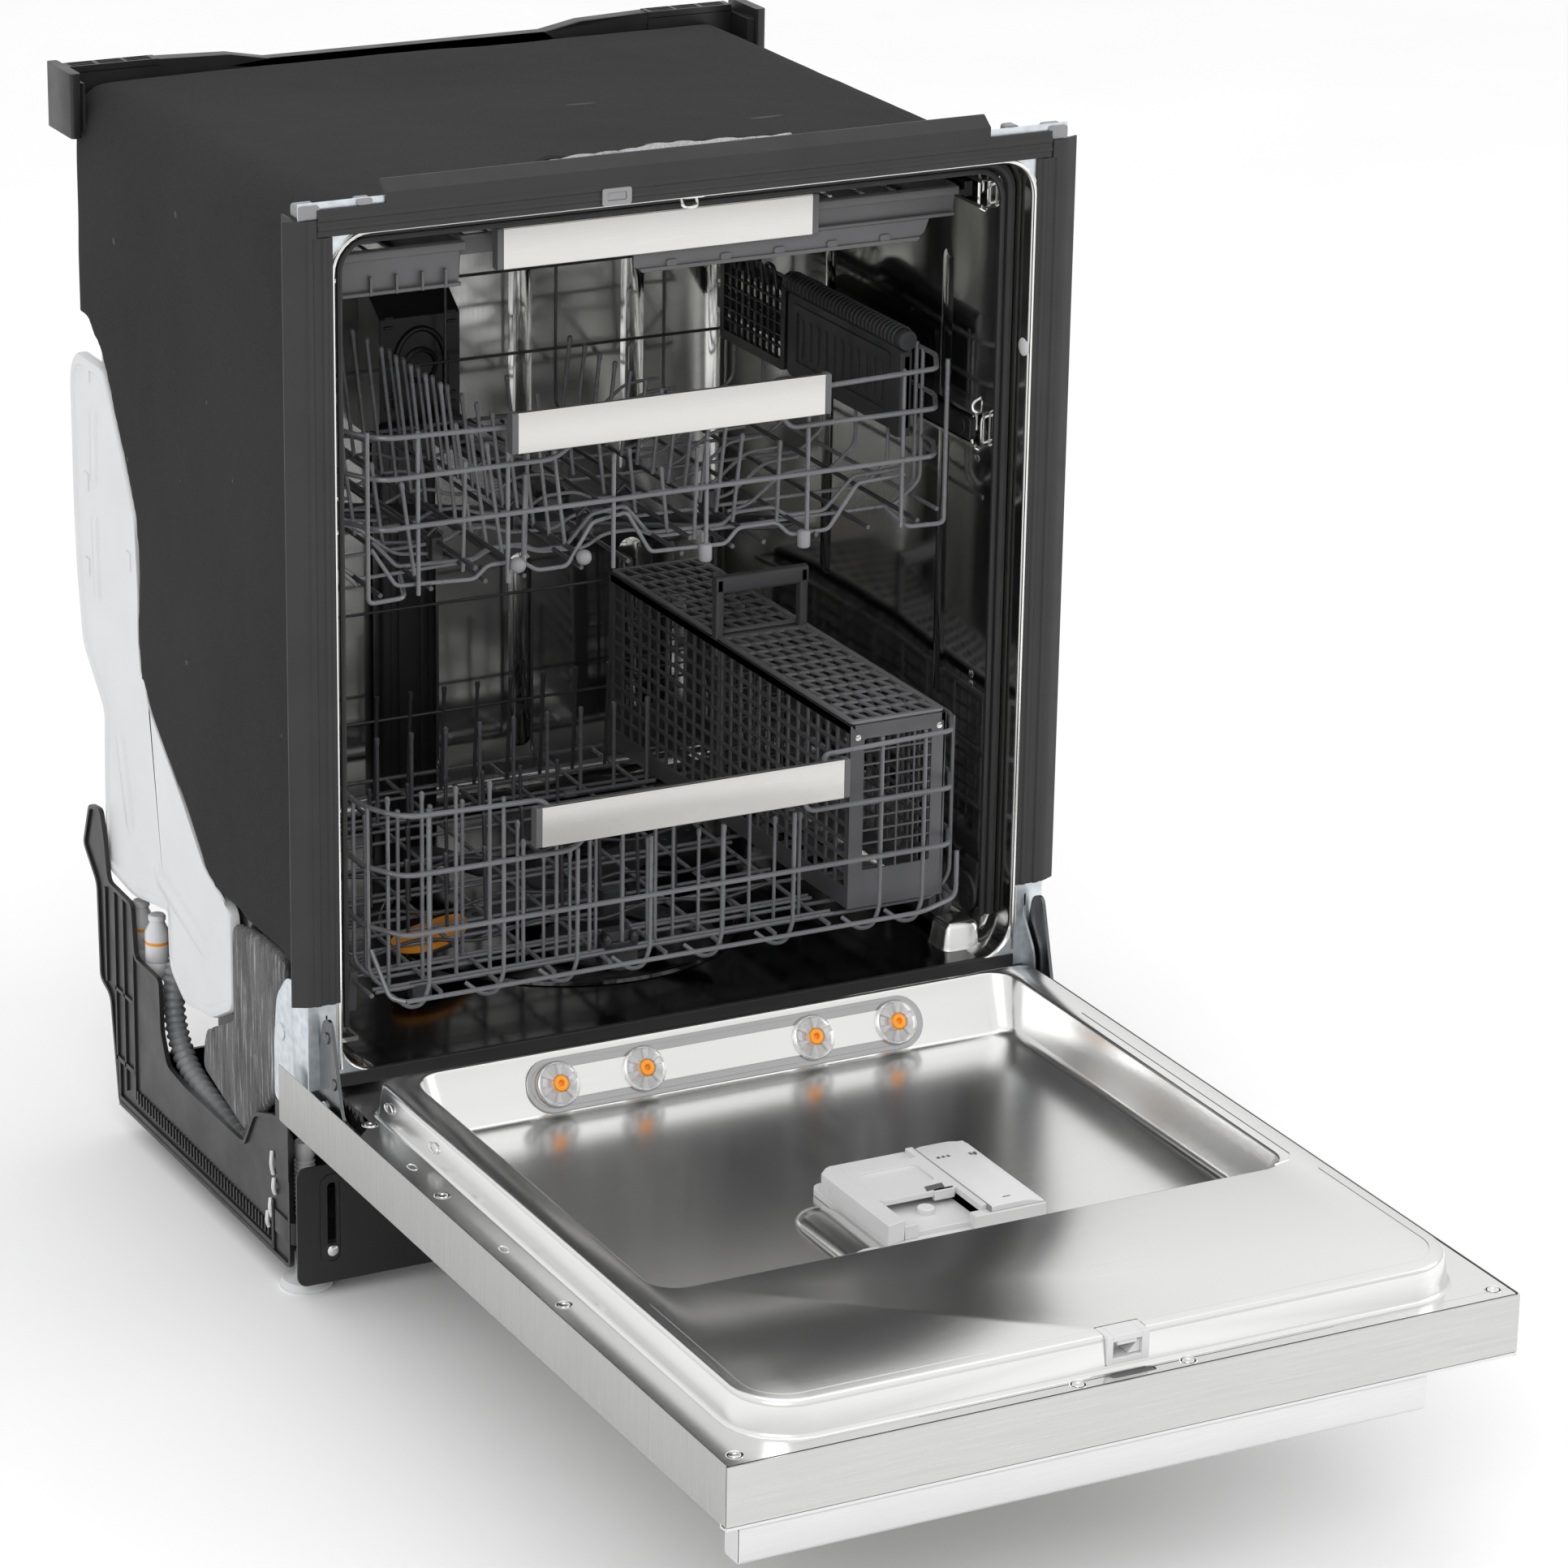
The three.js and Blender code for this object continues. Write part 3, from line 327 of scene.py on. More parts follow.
class Shape:
    """Gathers faces in machine millimetres and makes one mesh piece of them."""

    def __init__(self):
        self.verts = []
        self.faces = []
        self.slots = []

    def add(self, verts, faces, slot=0):
        base = len(self.verts)
        self.verts += [Vector(v) for v in verts]
        self.faces += [[base + i for i in face] for face in faces]
        self.slots += [slot] * len(faces)
        return self

    def loft(self, loops, slot=0, start=False, end=False, ring=True):
        n = len(loops[0])
        last = n if ring else n - 1
        faces = [[a * n + i, a * n + (i + 1) % n, (a + 1) * n + (i + 1) % n, (a + 1) * n + i]
                 for a in range(len(loops) - 1) for i in range(last)]
        if start:
            faces.append(list(range(n))[::-1])
        if end:
            faces.append([(len(loops) - 1) * n + i for i in range(n)])
        return self.add([v for loop in loops for v in loop], faces, slot)

    def tube(self, points, radius, sides=8, closed=False, slot=0):
        """Round bar along points. radius is one number, or one for each point."""
        points = [Vector(p) for p in points]
        radii = radius if isinstance(radius, list) else [radius] * len(points)
        normal = None
        loops = []
        for i, p in enumerate(points):
            after = points[(i + 1) % len(points)] if closed or i + 1 < len(points) else p
            before = points[i - 1] if closed or i else p
            along = (after - before).normalized()
            if normal is None:
                normal = along.orthogonal().normalized()
            normal = (normal - along * normal.dot(along)).normalized()
            other = along.cross(normal)
            loops.append([p + (normal * c + other * s) * radii[i] for c, s in around(sides)])
        if closed:
            loops.append(loops[0])
        return self.loft(loops, slot, not closed, not closed)

    def wire(self, points, radius=1.8, bend=7, sides=8, slot=0):
        return self.tube(bent(points, bend), radius, sides, slot=slot)

    def pin(self, base, tip, radius=1.6, bulb=2.1, slot=0):
        """A plate tine: thin rod with a coated bulb at its tip."""
        base, tip = Vector(base), Vector(tip)
        along = (tip - base).normalized()
        stops = [base, tip - along * 7, tip - along * 4.5, tip - along * 1.2, tip]
        return self.tube(stops, [radius, radius, bulb, bulb, bulb * 0.5], slot=slot)

    def turned(self, profile, centre, axis="Z", steps=28, slot=0):
        """Round piece from (radius, height) points round an axis through centre."""
        place = PLACES[axis]
        loops = [[Vector(place(r * c, r * s, h)) + Vector(centre) for c, s in around(steps)] for r,
                 h in profile]
        return self.loft(loops, slot, profile[0][0] > 0, profile[-1][0] > 0)

    def prism(self, outline, low, high, axis="Z", holes=(), slot=0):
        """Outline in the two other axes, pushed from low to high along axis."""
        place = PLACES[axis]
        loops = [list(outline), *[list(hole) for hole in holes]]
        flat = [Vector((u, v, 0)) for loop in loops for u, v in loop]
        triangles = geometry.tessellate_polygon([[Vector((u, v, 0)) for u, v in loop] for loop in loops])
        n = len(flat)
        verts = [place(p.x, p.y, low) for p in flat] + [place(p.x, p.y, high) for p in flat]
        if holes:
            faces = [list(t)[::-1] for t in triangles] + [[i + n for i in t] for t in triangles]
        else:
            faces = [list(range(n))[::-1], list(range(n, 2 * n))]
        first = 0
        for loop in loops:
            for i in range(len(loop)):
                j = (i + 1) % len(loop)
                faces.append([first + i, first + j, n + first + j, n + first + i])
            first += len(loop)
        return self.add(verts, faces, slot)

    def block(self, x0, x1, y0, y1, z0, z1, slot=0):
        return self.prism(rect(x0, x1, y0, y1), z0, z1, slot=slot)

    def mirrored(self):
        """The same shape on the other side of the machine."""
        other = Shape()
        other.add([(-v.x, v.y, v.z) for v in self.verts], [face[::-1] for face in self.faces])
        other.slots = list(self.slots)
        return other

    def made(self, name, body, looks, replaces=(), slot=None, bevel=0.0, segments=2, angle=35.0, solid=0.0):
        mesh = bpy.data.meshes.new(name)
        mesh.from_pydata([at(*v) for v in self.verts], [], self.faces)
        for look in looks if isinstance(looks, (list, tuple)) else [looks]:
            mesh.materials.append(look)
        mesh.polygons.foreach_set("material_index", self.slots)
        form = bmesh.new()
        form.from_mesh(mesh)
        bmesh.ops.remove_doubles(form, verts=form.verts, dist=1e-6)
        bmesh.ops.recalc_face_normals(form, faces=form.faces)
        for edge in form.edges:
            edge.smooth = len(edge.link_faces) == 2 and edge.calc_face_angle(0.0) < math.radians(angle)
        for face in form.faces:
            face.smooth = True
        form.to_mesh(mesh)
        form.free()
        piece = bpy.data.objects.new(name, mesh)
        bpy.context.scene.collection.objects.link(piece)
        if solid:
            skin = piece.modifiers.new("thickness", "SOLIDIFY")
            skin.thickness = solid / 1000
            skin.offset = -1
        if bevel:
            soft = piece.modifiers.new("edges", "BEVEL")
            soft.width = bevel / 1000
            soft.segments = segments
            soft.limit_method = "ANGLE"
            soft.angle_limit = math.radians(angle)
            soft.harden_normals = True
        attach(piece, body)
        if replaces:
            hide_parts(*([replaces] if isinstance(replaces, str) else replaces))
        return piece


def both_sides(shape, name, body, looks, node, slot, **finish):
    """The piece as drawn on the right, and its mirror on the left; {} in a name is the side."""
    for side, form in (("right", shape), ("left", shape.mirrored())):
        form.made(name.format(side), body, looks, node.format(side), slot, **finish)


def grown(x0, x1, y0, y1, r, by, z, steps=8, far=None):
    """Loop of a rounded rectangle grown by so many millimetres, at height z."""
    rear = max(far + by, 0.6) if far else None
    return [(u, v, z) for u, v in rounded(x0 - by, x1 + by, y0 - by, y1 + by, max(r + by, 0.6), steps,
                                          rear)]


# ------------------------------------------------------------------ camera, lights and floor
def lamp(name, place, target, size, energy, size_y=None):
    data = bpy.data.lights.new(name, "AREA")
    data.shape = "RECTANGLE"
    data.size = size
    data.size_y = size_y or size
    data.energy = energy
    light = bpy.data.objects.new(name, data)
    light.location = place
    light.rotation_mode = "QUATERNION"
    light.rotation_quaternion = (Vector(target) - Vector(place)).to_track_quat("-Z", "Y")
    bpy.context.scene.collection.objects.link(light)


def studio():
    scene = bpy.context.scene
    data = bpy.data.cameras.new("camera")
    data.sensor_width = 36
    data.lens = 132.816
    data.clip_end = 60
    camera = bpy.data.objects.new("camera", data)
    camera.location = (-1.81288, -3.51105, 1.84686)
    camera.rotation_mode = "QUATERNION"
    forward = Vector((0.43902614, 0.83151221, -0.34035788))
    camera.rotation_quaternion = forward.to_track_quat("-Z", "Y") @ Matrix.Rotation(
        math.radians(0.993), 3, "Z").to_quaternion()
    scene.collection.objects.link(camera)
    scene.camera = camera

    world = bpy.data.worlds.new("studio")
    world.use_nodes = True
    tree = world.node_tree
    back = tree.nodes["Background"]
    coords = tree.nodes.new("ShaderNodeTexCoord")
    split = tree.nodes.new("ShaderNodeSeparateXYZ")
    ramp = tree.nodes.new("ShaderNodeValToRGB")
    tree.links.new(coords.outputs["Generated"], split.inputs[0])
    tree.links.new(split.outputs[2], ramp.inputs[0])
    ramp.color_ramp.elements[0].position = 0.0
    ramp.color_ramp.elements[0].color = (0.75, 0.75, 0.75, 1)
    ramp.color_ramp.elements[1].position = 0.55
    ramp.color_ramp.elements[1].color = (1, 1, 1, 1)
    tree.links.new(ramp.outputs[0], back.inputs[0])
    back.inputs[1].default_value = 1.0
    scene.world = world
    scene.view_settings.view_transform = "Standard"

    lamp("key", (-2.2, -2.8, 2.9), (0, 0.1, 0.4), 2.2, 40)
    lamp("top", (0.3, 0.2, 3.6), (0, 0, 0.3), 2.6, 10)
    lamp("right", (3.0, -1.6, 1.8), (0, 0, 0.4), 1.6, 18)

    ground = Look("floor", 0.9)
    ground.paint(ground.mix(ground.span(ground.noise(3.0), 0, 1), (0.955, 0.955, 0.955),
                            (0.975, 0.975, 0.975)))
    sheet = bpy.data.meshes.new("floor")
    sheet.from_pydata([(-30, -30, 0), (30, -30, 0), (30, 30, 0), (-30, 30, 0)], [], [(0, 1, 2, 3)])
    sheet.materials.append(ground.material)
    floor = bpy.data.objects.new("floor", sheet)
    scene.collection.objects.link(floor)


# ------------------------------------------------------------------ tub and front frame
SLEEVE_X = 279.5  # half width inside the sleeve that holds the seal
SLEEVE_TOP = 836.5
SLEEVE_BACK = 34
TUB_X = 273  # half width inside the tub
TUB_FLOOR = 209
TUB_TOP = 830.5
TUB_BACK = 486.5
SUMP_Y = 215
SUMP_R = 134


def tub():
    def ring(x, low, high, r, y):
        return [(u, y, v) for u, v in rounded(-x, x, low, high, r, 8)]

    shell = Shape()
    room = [ring(SLEEVE_X + 4, TUB_FLOOR - 1.4, SLEEVE_TOP + 4, 32, 0.2)]
    room += [ring(SLEEVE_X + 1.2, TUB_FLOOR - 0.6, SLEEVE_TOP + 1.2, 29.2, 1.0)]
    room += [ring(SLEEVE_X, TUB_FLOOR, SLEEVE_TOP, 28, 3.4)]
    room += [ring(SLEEVE_X, TUB_FLOOR, SLEEVE_TOP, 28, SLEEVE_BACK - 3)]
    room += [ring(SLEEVE_X - 1.4, TUB_FLOOR, SLEEVE_TOP - 1.4, 27, SLEEVE_BACK - 0.6)]
    room += [ring(TUB_X + 1, TUB_FLOOR, TUB_TOP + 1, 19, SLEEVE_BACK)]
    room += [ring(TUB_X, TUB_FLOOR, TUB_TOP, 18, SLEEVE_BACK + 2)]
    room += [ring(TUB_X, TUB_FLOOR, TUB_TOP, 18, y) for y in (180, 320, TUB_BACK - 16)]
    room += [ring(TUB_X - 4.7, TUB_FLOOR + 4.7, TUB_TOP - 4.7, 14, TUB_BACK - 4.7)]
    room += [ring(TUB_X - 16, TUB_FLOOR + 16, TUB_TOP - 16, 5, TUB_BACK)]
    shell.loft(room, end=True)
    shell.made("tub_room", "cabinet", TUB, "tub", "polished_steel", solid=0.8, angle=50)

    flange = Shape()
    mouth = rounded(-SLEEVE_X - 2, SLEEVE_X + 2, TUB_FLOOR - 1, SLEEVE_TOP + 2, 30, 8)
    flange.prism(rect(-306, 306, 200, 862), 0, 1.2, "Y", [mouth])
    flange.made("tub_flange", "cabinet", ZINC, slot="galvanised_steel", bevel=0.3)
    sill = Shape()
    sill.block(-282, 282, -1.2, 3.4, 199.6, 209.8)
    sill.made("tub_sill", "cabinet", RUBBER, slot="seal_rubber", bevel=0.6)

    # floor sheet in the darkened tub steel: painted shade
    floor = Shape()
    edge = rounded(-TUB_X + 4, TUB_X - 4, 3, TUB_BACK - 18, 14, 6)
    floor.prism(edge, TUB_FLOOR + 0.2, TUB_FLOOR + 0.9, "Z", [disc(0, SUMP_Y, SUMP_R, 64)])
    floor.made("tub_floor", "cabinet", SHADED_FLOOR_STEEL, slot="polished_steel")

    # sump dish in the darkened tub steel: painted shade
    dish = Shape()
    steps = [(SUMP_R + 9, 210), (SUMP_R + 7, 212.2), (SUMP_R + 3, 212.6), (SUMP_R, 211), (SUMP_R - 4, 206),
             (SUMP_R - 18, 203), (80, 201), (58, 200)]
    dish.turned(steps, (0, SUMP_Y, 0), steps=72)
    dish.made("sump_dish", "cabinet", SHADED_FLOOR_STEEL, slot="polished_steel", solid=0.8)

    # pressed ribs of the side walls, the wheel ledges and the plug and screws of the right wall
    ribs = Shape()
    for side in (-1, 1):
        for y, low, high in ((112, 387, 744), (300, 430, 744)):
            panel = [(y + 9.5 * math.cos(a), v) for a,
                     v in ((math.pi, low), (0, low), (0, high), (math.pi, high))]
            outer = rounded(panel[0][0], panel[1][0], low, high, 9, 5)
            inner = rounded(panel[0][0] + 4, panel[1][0] - 4, low + 4, high - 4, 5, 5)
            ribs.loft([[(side * TUB_X, u, v) for u, v in outer],
                       [(side * (TUB_X - 2.6), u, v) for u, v in inner]],
                      end=True)
        ledge = [(249, 219.6), (252, 219.6), (266, 219.6), (TUB_X, 224), (TUB_X, 216), (249, 216)]
        ribs.prism([(side * u, v) for u, v in ledge], SLEEVE_BACK + 6, TUB_BACK - 18, "Y")
    for low, high in ((250, 420), (470, 790)):
        for x in (-170, 90, 190):
            outer = rounded(x - 12, x + 12, low, high, 11, 5)
            inner = rounded(x - 7, x + 7, low + 5, high - 5, 6, 5)
            ribs.loft([[(u, TUB_BACK, v) for u, v in outer], [(u, TUB_BACK - 2.4, v) for u, v in inner]],
                      end=True)
    ribs.made("tub_ribs", "cabinet", TUB, slot="polished_steel", angle=60)

    # the corner bulge is drawn in the brighter liner steel instead of the tub's own steel: a painted
    # highlight
    boss = Shape()
    sides = ((0, 209.3), (1.5, 213), (3.5, 226), (6, 230), (9, 231))
    boss.loft([grown(234, 270, 22, 56, 9, -by, z, 4) for by, z in sides], end=True)
    boss.made("tub_corner_boss", "cabinet", LINER, slot="polished_steel", angle=60)

    studs = Shape()
    for side in (-1, 1):
        for z in (600, 592, 420, 412):
            studs.turned([(3.4, 0), (3.2, 1.4), (1.6, 2.2), (0, 2.2)], (side * TUB_X, 60, z), "X", 14)
    for v in studs.verts:
        if v.x > 0:
            v.x = 2 * TUB_X - v.x
    studs.made("wall_screws", "cabinet", BRIGHT, slot="galvanised_steel")
    plug = Shape()
    plug.turned([(7.5, 1), (7.2, -0.6), (5.6, -1.5), (0, -1.7)], (SLEEVE_X, 7.6, 692), "X", 24)
    plug.made("wall_plug", "cabinet", PALE, slot="white_plastic")


def seal():
    def arch(half, low, top, corner, y):
        """Up one side, over the top and down the other side."""
        over = sorted([p for p in rounded(-half, half, 200, top, corner, 8) if p[1] > 700],
                      key=lambda p: p[0])
        return [(-half, y, low), *[(u, y, v) for u, v in over], (half, y, low)]

    lip = Shape()
    path = arch(SLEEVE_X - 6, 236, SLEEVE_TOP - 6, 22, 26)
    lip.tube(path, 4.6, 10)
    lip.tube([(u * 0.972, y - 3.2, v - 5 if v > 500 else v) for u, y, v in path], 2.4, 8)
    lip.made("door_seal", "cabinet", RUBBER, "tub_gasket", "seal_rubber")
    bead = Shape()
    bead.tube(arch(SLEEVE_X + 1.2, 214, SLEEVE_TOP + 1.2, 29, -0.6), 1.5, 8)
    bead.made("mouth_bead", "cabinet", BRIGHT, slot="galvanised_steel")


def trims():
    # outline of the right side trim seen from above, rib by rib
    face = [(280.9, -2.2), (284.6, -2.4), (285.6, -3.5), (288.6, -3.5), (289.6, -2.4), (295.4, -2.4),
            (296.4, -3.5),
            (299.8, -3.5), (300.8, -2.4), (304.6, -2.2), (308.2, -0.8), (316.4, 3.4), (316.4, 5),
            (308.4, 2.2),
            (308.4, 24), (306.4, 24), (306.4, -0.4), (280.9, -0.4)]
    side = Shape()
    side.prism(face, 266.6, 836.9)
    side.prism([(293.2, -3.4), *face[7:17], (293.2, -0.4)], 836.9, 850)
    both_sides(side, "frame_trim_{}", "cabinet", TRIM, "trim_{}", "trim_grey", bevel=0.35)
    top = Shape()
    profile = [(-0.4, 837.2), (-2.2, 837.2), (-2.6, 841.4), (-3.5, 842.4), (-3.5, 844.4), (-2.6, 845.4),
               (-2.6, 848),
               (-3.5, 849), (-3.5, 851.4), (-2.4, 852.4), (-2.2, 856.9), (-0.4, 856.9)]
    top.prism(profile, -292.4, 292.4, "X")
    top.prism([(-2.2, 850), (-0.4, 850), (-0.4, 862.4), (9.9, 869.4), (9.9, 871.9), (8, 871.9),
               (-2.2, 864.5)],
              -240.4, 240.4, "X")
    top.made("frame_trim_top", "cabinet", TRIM, "trim_top", "trim_grey", bevel=0.3)

    catch = Shape()
    catch.wire([(-5, 14, 836), (-5, 8, 827), (7, 8, 827), (7, 14, 836)], 1.3, 4)
    catch.prism(slot_outline(2, 9.5, 11, 6.4), 834.6, 836)
    catch.made("door_striker", "cabinet", BRIGHT, "latch_striker", "galvanised_steel", bevel=0.3)
    window = Shape()
    window.prism(rounded(-75, -52, 838, 850.4, 1.6, 2), -4.6, -3.4, "Y",
                 [rounded(-71, -56, 841.4, 847.4, 0.8, 2)])
    window.prism(rounded(-70.8, -56.2, 841.6, 847.2, 0.6, 2), -3.9, -3.2, "Y")
    window.made("trim_clip", "cabinet", PIVOT, slot="galvanised_steel", bevel=0.2)
    corner = Shape()
    for x0, x1, low, high, y0, y1 in ((-305.6, -290, 850.6, 860, -1.6, 14),
                                      (-262, -250, 857, 861.6, -1.6, 8),
                                      (290, 305.6, 850.6, 860, -1.6, 14), (256, 266, 857, 863, 2, 12)):
        corner.prism(rounded(x0, x1, low, high, 2, 3), y0, y1, "Y")
    corner.made("frame_corners", "cabinet", PIVOT, slot="galvanised_steel", bevel=0.4)


def blanket():
    """Bitumen felt wrapped over the tub: remeshed from its solid, softened, then waved and curled."""
    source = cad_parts["sound_blanket"].data.copy()
    form = bmesh.new()
    form.from_mesh(source)
    bmesh.ops.remove_doubles(form, verts=form.verts, dist=1e-5)
    form.to_mesh(source)
    form.free()
    source.materials.clear()
    source.materials.append(FELT)
    piece = bpy.data.objects.new("felt_wrap", source)
    bpy.context.scene.collection.objects.link(piece)
    cells = piece.modifiers.new("cells", "REMESH")
    cells.mode = "VOXEL"
    cells.voxel_size = 0.0042
    smooth = piece.modifiers.new("smooth", "SMOOTH")
    smooth.factor = 0.5
    smooth.iterations = 5
    graph = bpy.context.evaluated_depsgraph_get()
    mesh = bpy.data.meshes.new_from_object(piece.evaluated_get(graph))
    piece.modifiers.clear()
    piece.data = mesh
    _, x1, _, y1, _, z1 = extent("sound_blanket")
    back = at(0, y1, 0).y
    reach = 0.034
    for v in mesh.vertices:
        p = v.co
        if abs(p.x) > x1 / 1000 - reach and p.y > back - reach:
            centre = Vector((math.copysign(x1 / 1000 - reach, p.x), back - reach))
            away = Vector((p.x, p.y)) - centre
            if away.length > reach:
                away *= reach / away.length
                p.x, p.y = centre + away
        if p.z > z1 / 1000 - reach and p.y > back - reach:
            centre = Vector((back - reach, z1 / 1000 - reach))
            away = Vector((p.y, p.z)) - centre
            if away.length > reach:
                away *= reach / away.length
                p.y, p.z = centre + away
    normals = [v.normal.copy() for v in mesh.vertices]
    for v, n in zip(mesh.vertices, normals):
        slow = noise.noise(v.co * 9.0) + 0.4 * noise.noise(v.co * 31.0 + Vector((3, 1, 7)))
        v.co += n * (slow * 0.0011 - 0.0006)
        x, y = v.co.x * 1000, (v.co.y - FLANGE_Y) * 1000
        if v.co.z > 0.826 and y < 120:
            curl = max(0.0, 1 - (x + 8) ** 2 / 135 ** 2)
            edge = 13 + 25 * min(1.0, curl * 3)
            if y < edge:
                v.co.y += (edge - y) * 0.92 / 1000
            lift = 3.2 * math.sin(x / 31.0) * math.cos(x / 77.0 + 1) + 4.5 + 21 * min(1.0, curl * 1.8)
            fade = min(1.0, max(0.0, (120 - y) / (120 - edge)))
            v.co.z += lift / 1000 * fade ** 2 * (1 if abs(x) < 245 else 0.2)
    for polygon in mesh.polygons:
        polygon.use_smooth = True
    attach(piece, "cabinet")
    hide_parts("sound_blanket")

    lining = Shape()
    rows = []
    for k, (y, z) in enumerate(((13, 867), (18, 869.6), (25, 868.4), (32, 865.4), (42, 860))):
        rows.append([(x, y + 2.4 * math.sin(x / 13.0 + k), z + 1.6 * math.sin(x / 9.0 + 2 * k)
                      + 2.0 * math.cos(x / 41.0)) for x in range(-98, 92, 4)])
    lining.loft(rows, ring=False)
    lining.made("fibre_edge", "cabinet", FOIL, slot="fibre", solid=2.0, angle=80)


def guide_box():
    """Translucent white water guide, held against the left wall."""
    outline = [(200, 186), (239, 165), (296, 156), (323, 172), (325, 222), (402, 208.5), (457, 214),
               (458, 289), (456, 346),
               (482, 372), (500, 390), (509, 447), (512, 500), (512, 612), (500, 628), (442, 628),
               (426, 605),
               (403, 567), (379.5, 524), (376.5, 475), (379.5, 440), (377.5, 403), (349, 369), (314, 342),
               (287, 320), (241, 277), (200, 266)]
    smooth = [Vector((u, v, 0)) for u, v in softened(outline, 9, 3)]
    centre = Vector((370, 400, 0))
    shell = Shape()
    steps = ((0, -276.3), (0, -281.6), (-1.2, -283.8), (-4.2, -284.8), (-8.5, -284.8), (-10, -283.4),
             (-13, -283.4))
    shell.loft([[(x, *(p - (centre - p).normalized() * by).xy) for p in smooth] for by, x in steps],
               start=True, end=True)
    for y, z, long, wide, tilt in ((466, 560, 34, 6, 92), (466, 470, 40, 5, 88), (415, 300, 44, 7, 75),
                                   (300, 232, 60, 9, 16)):
        pad = slot_outline(y, z, long, wide, tilt)
        shell.loft([[(-283.2, u, v) for u, v in pad],
                    [(-284.9, y + (u - y) * 0.86, z + (v - z) * 0.86) for u, v in pad]],
                   start=True, end=True)
    for y, z in ((478, 520), (480, 450), (470, 610), (392, 480)):
        shell.block(-284.4, -277, y, y + 9, z, z + 14)
    shell.made("water_guide", "cabinet", WHITE, "water_guide_box", "white_plastic", angle=40)


def fibre():
    outline = [(197, 258), (150, 266), (93, 266), (90, 238), (115, 149), (178, 95), (261, 117), (256, 148),
               (238, 159), (197, 179)]
    smooth = [Vector((u, v, 0)) for u, v in softened(outline, 9, 4)]
    pad = Shape()
    middle = Vector((165, 180, 0))
    loops = []
    for k, (by, x) in enumerate(((2, -276.4), (0, -277.4), (0, -282.6), (2.4, -284.3), (6, -284.8))):
        loop = []
        for p in smooth:
            q = p + (middle - p).normalized() * by
            ragged = noise.noise(Vector((q.x / 6, q.y / 6, k))) * 1.4
            loop.append((x, q.x + ragged, q.y + ragged))
        loops.append(loop)
    pad.loft(loops, start=True, end=True)
    pad.made("fibre_wad", "cabinet", FIBRE, "fibre_pad", "fibre", angle=80)


BASE_WALL = [
    (430.5, 22), (445, 110), (466, 118), (469, 198), (497, 223), (482, 261), (458, 264), (450, 240),
    (444, 208),
    (394, 206), (389, 163), (338, 162), (336, 119), (324, 95), (288, 91), (170, 91), (149, 124), (107, 138),
    (80, 133), (80, 22),
]


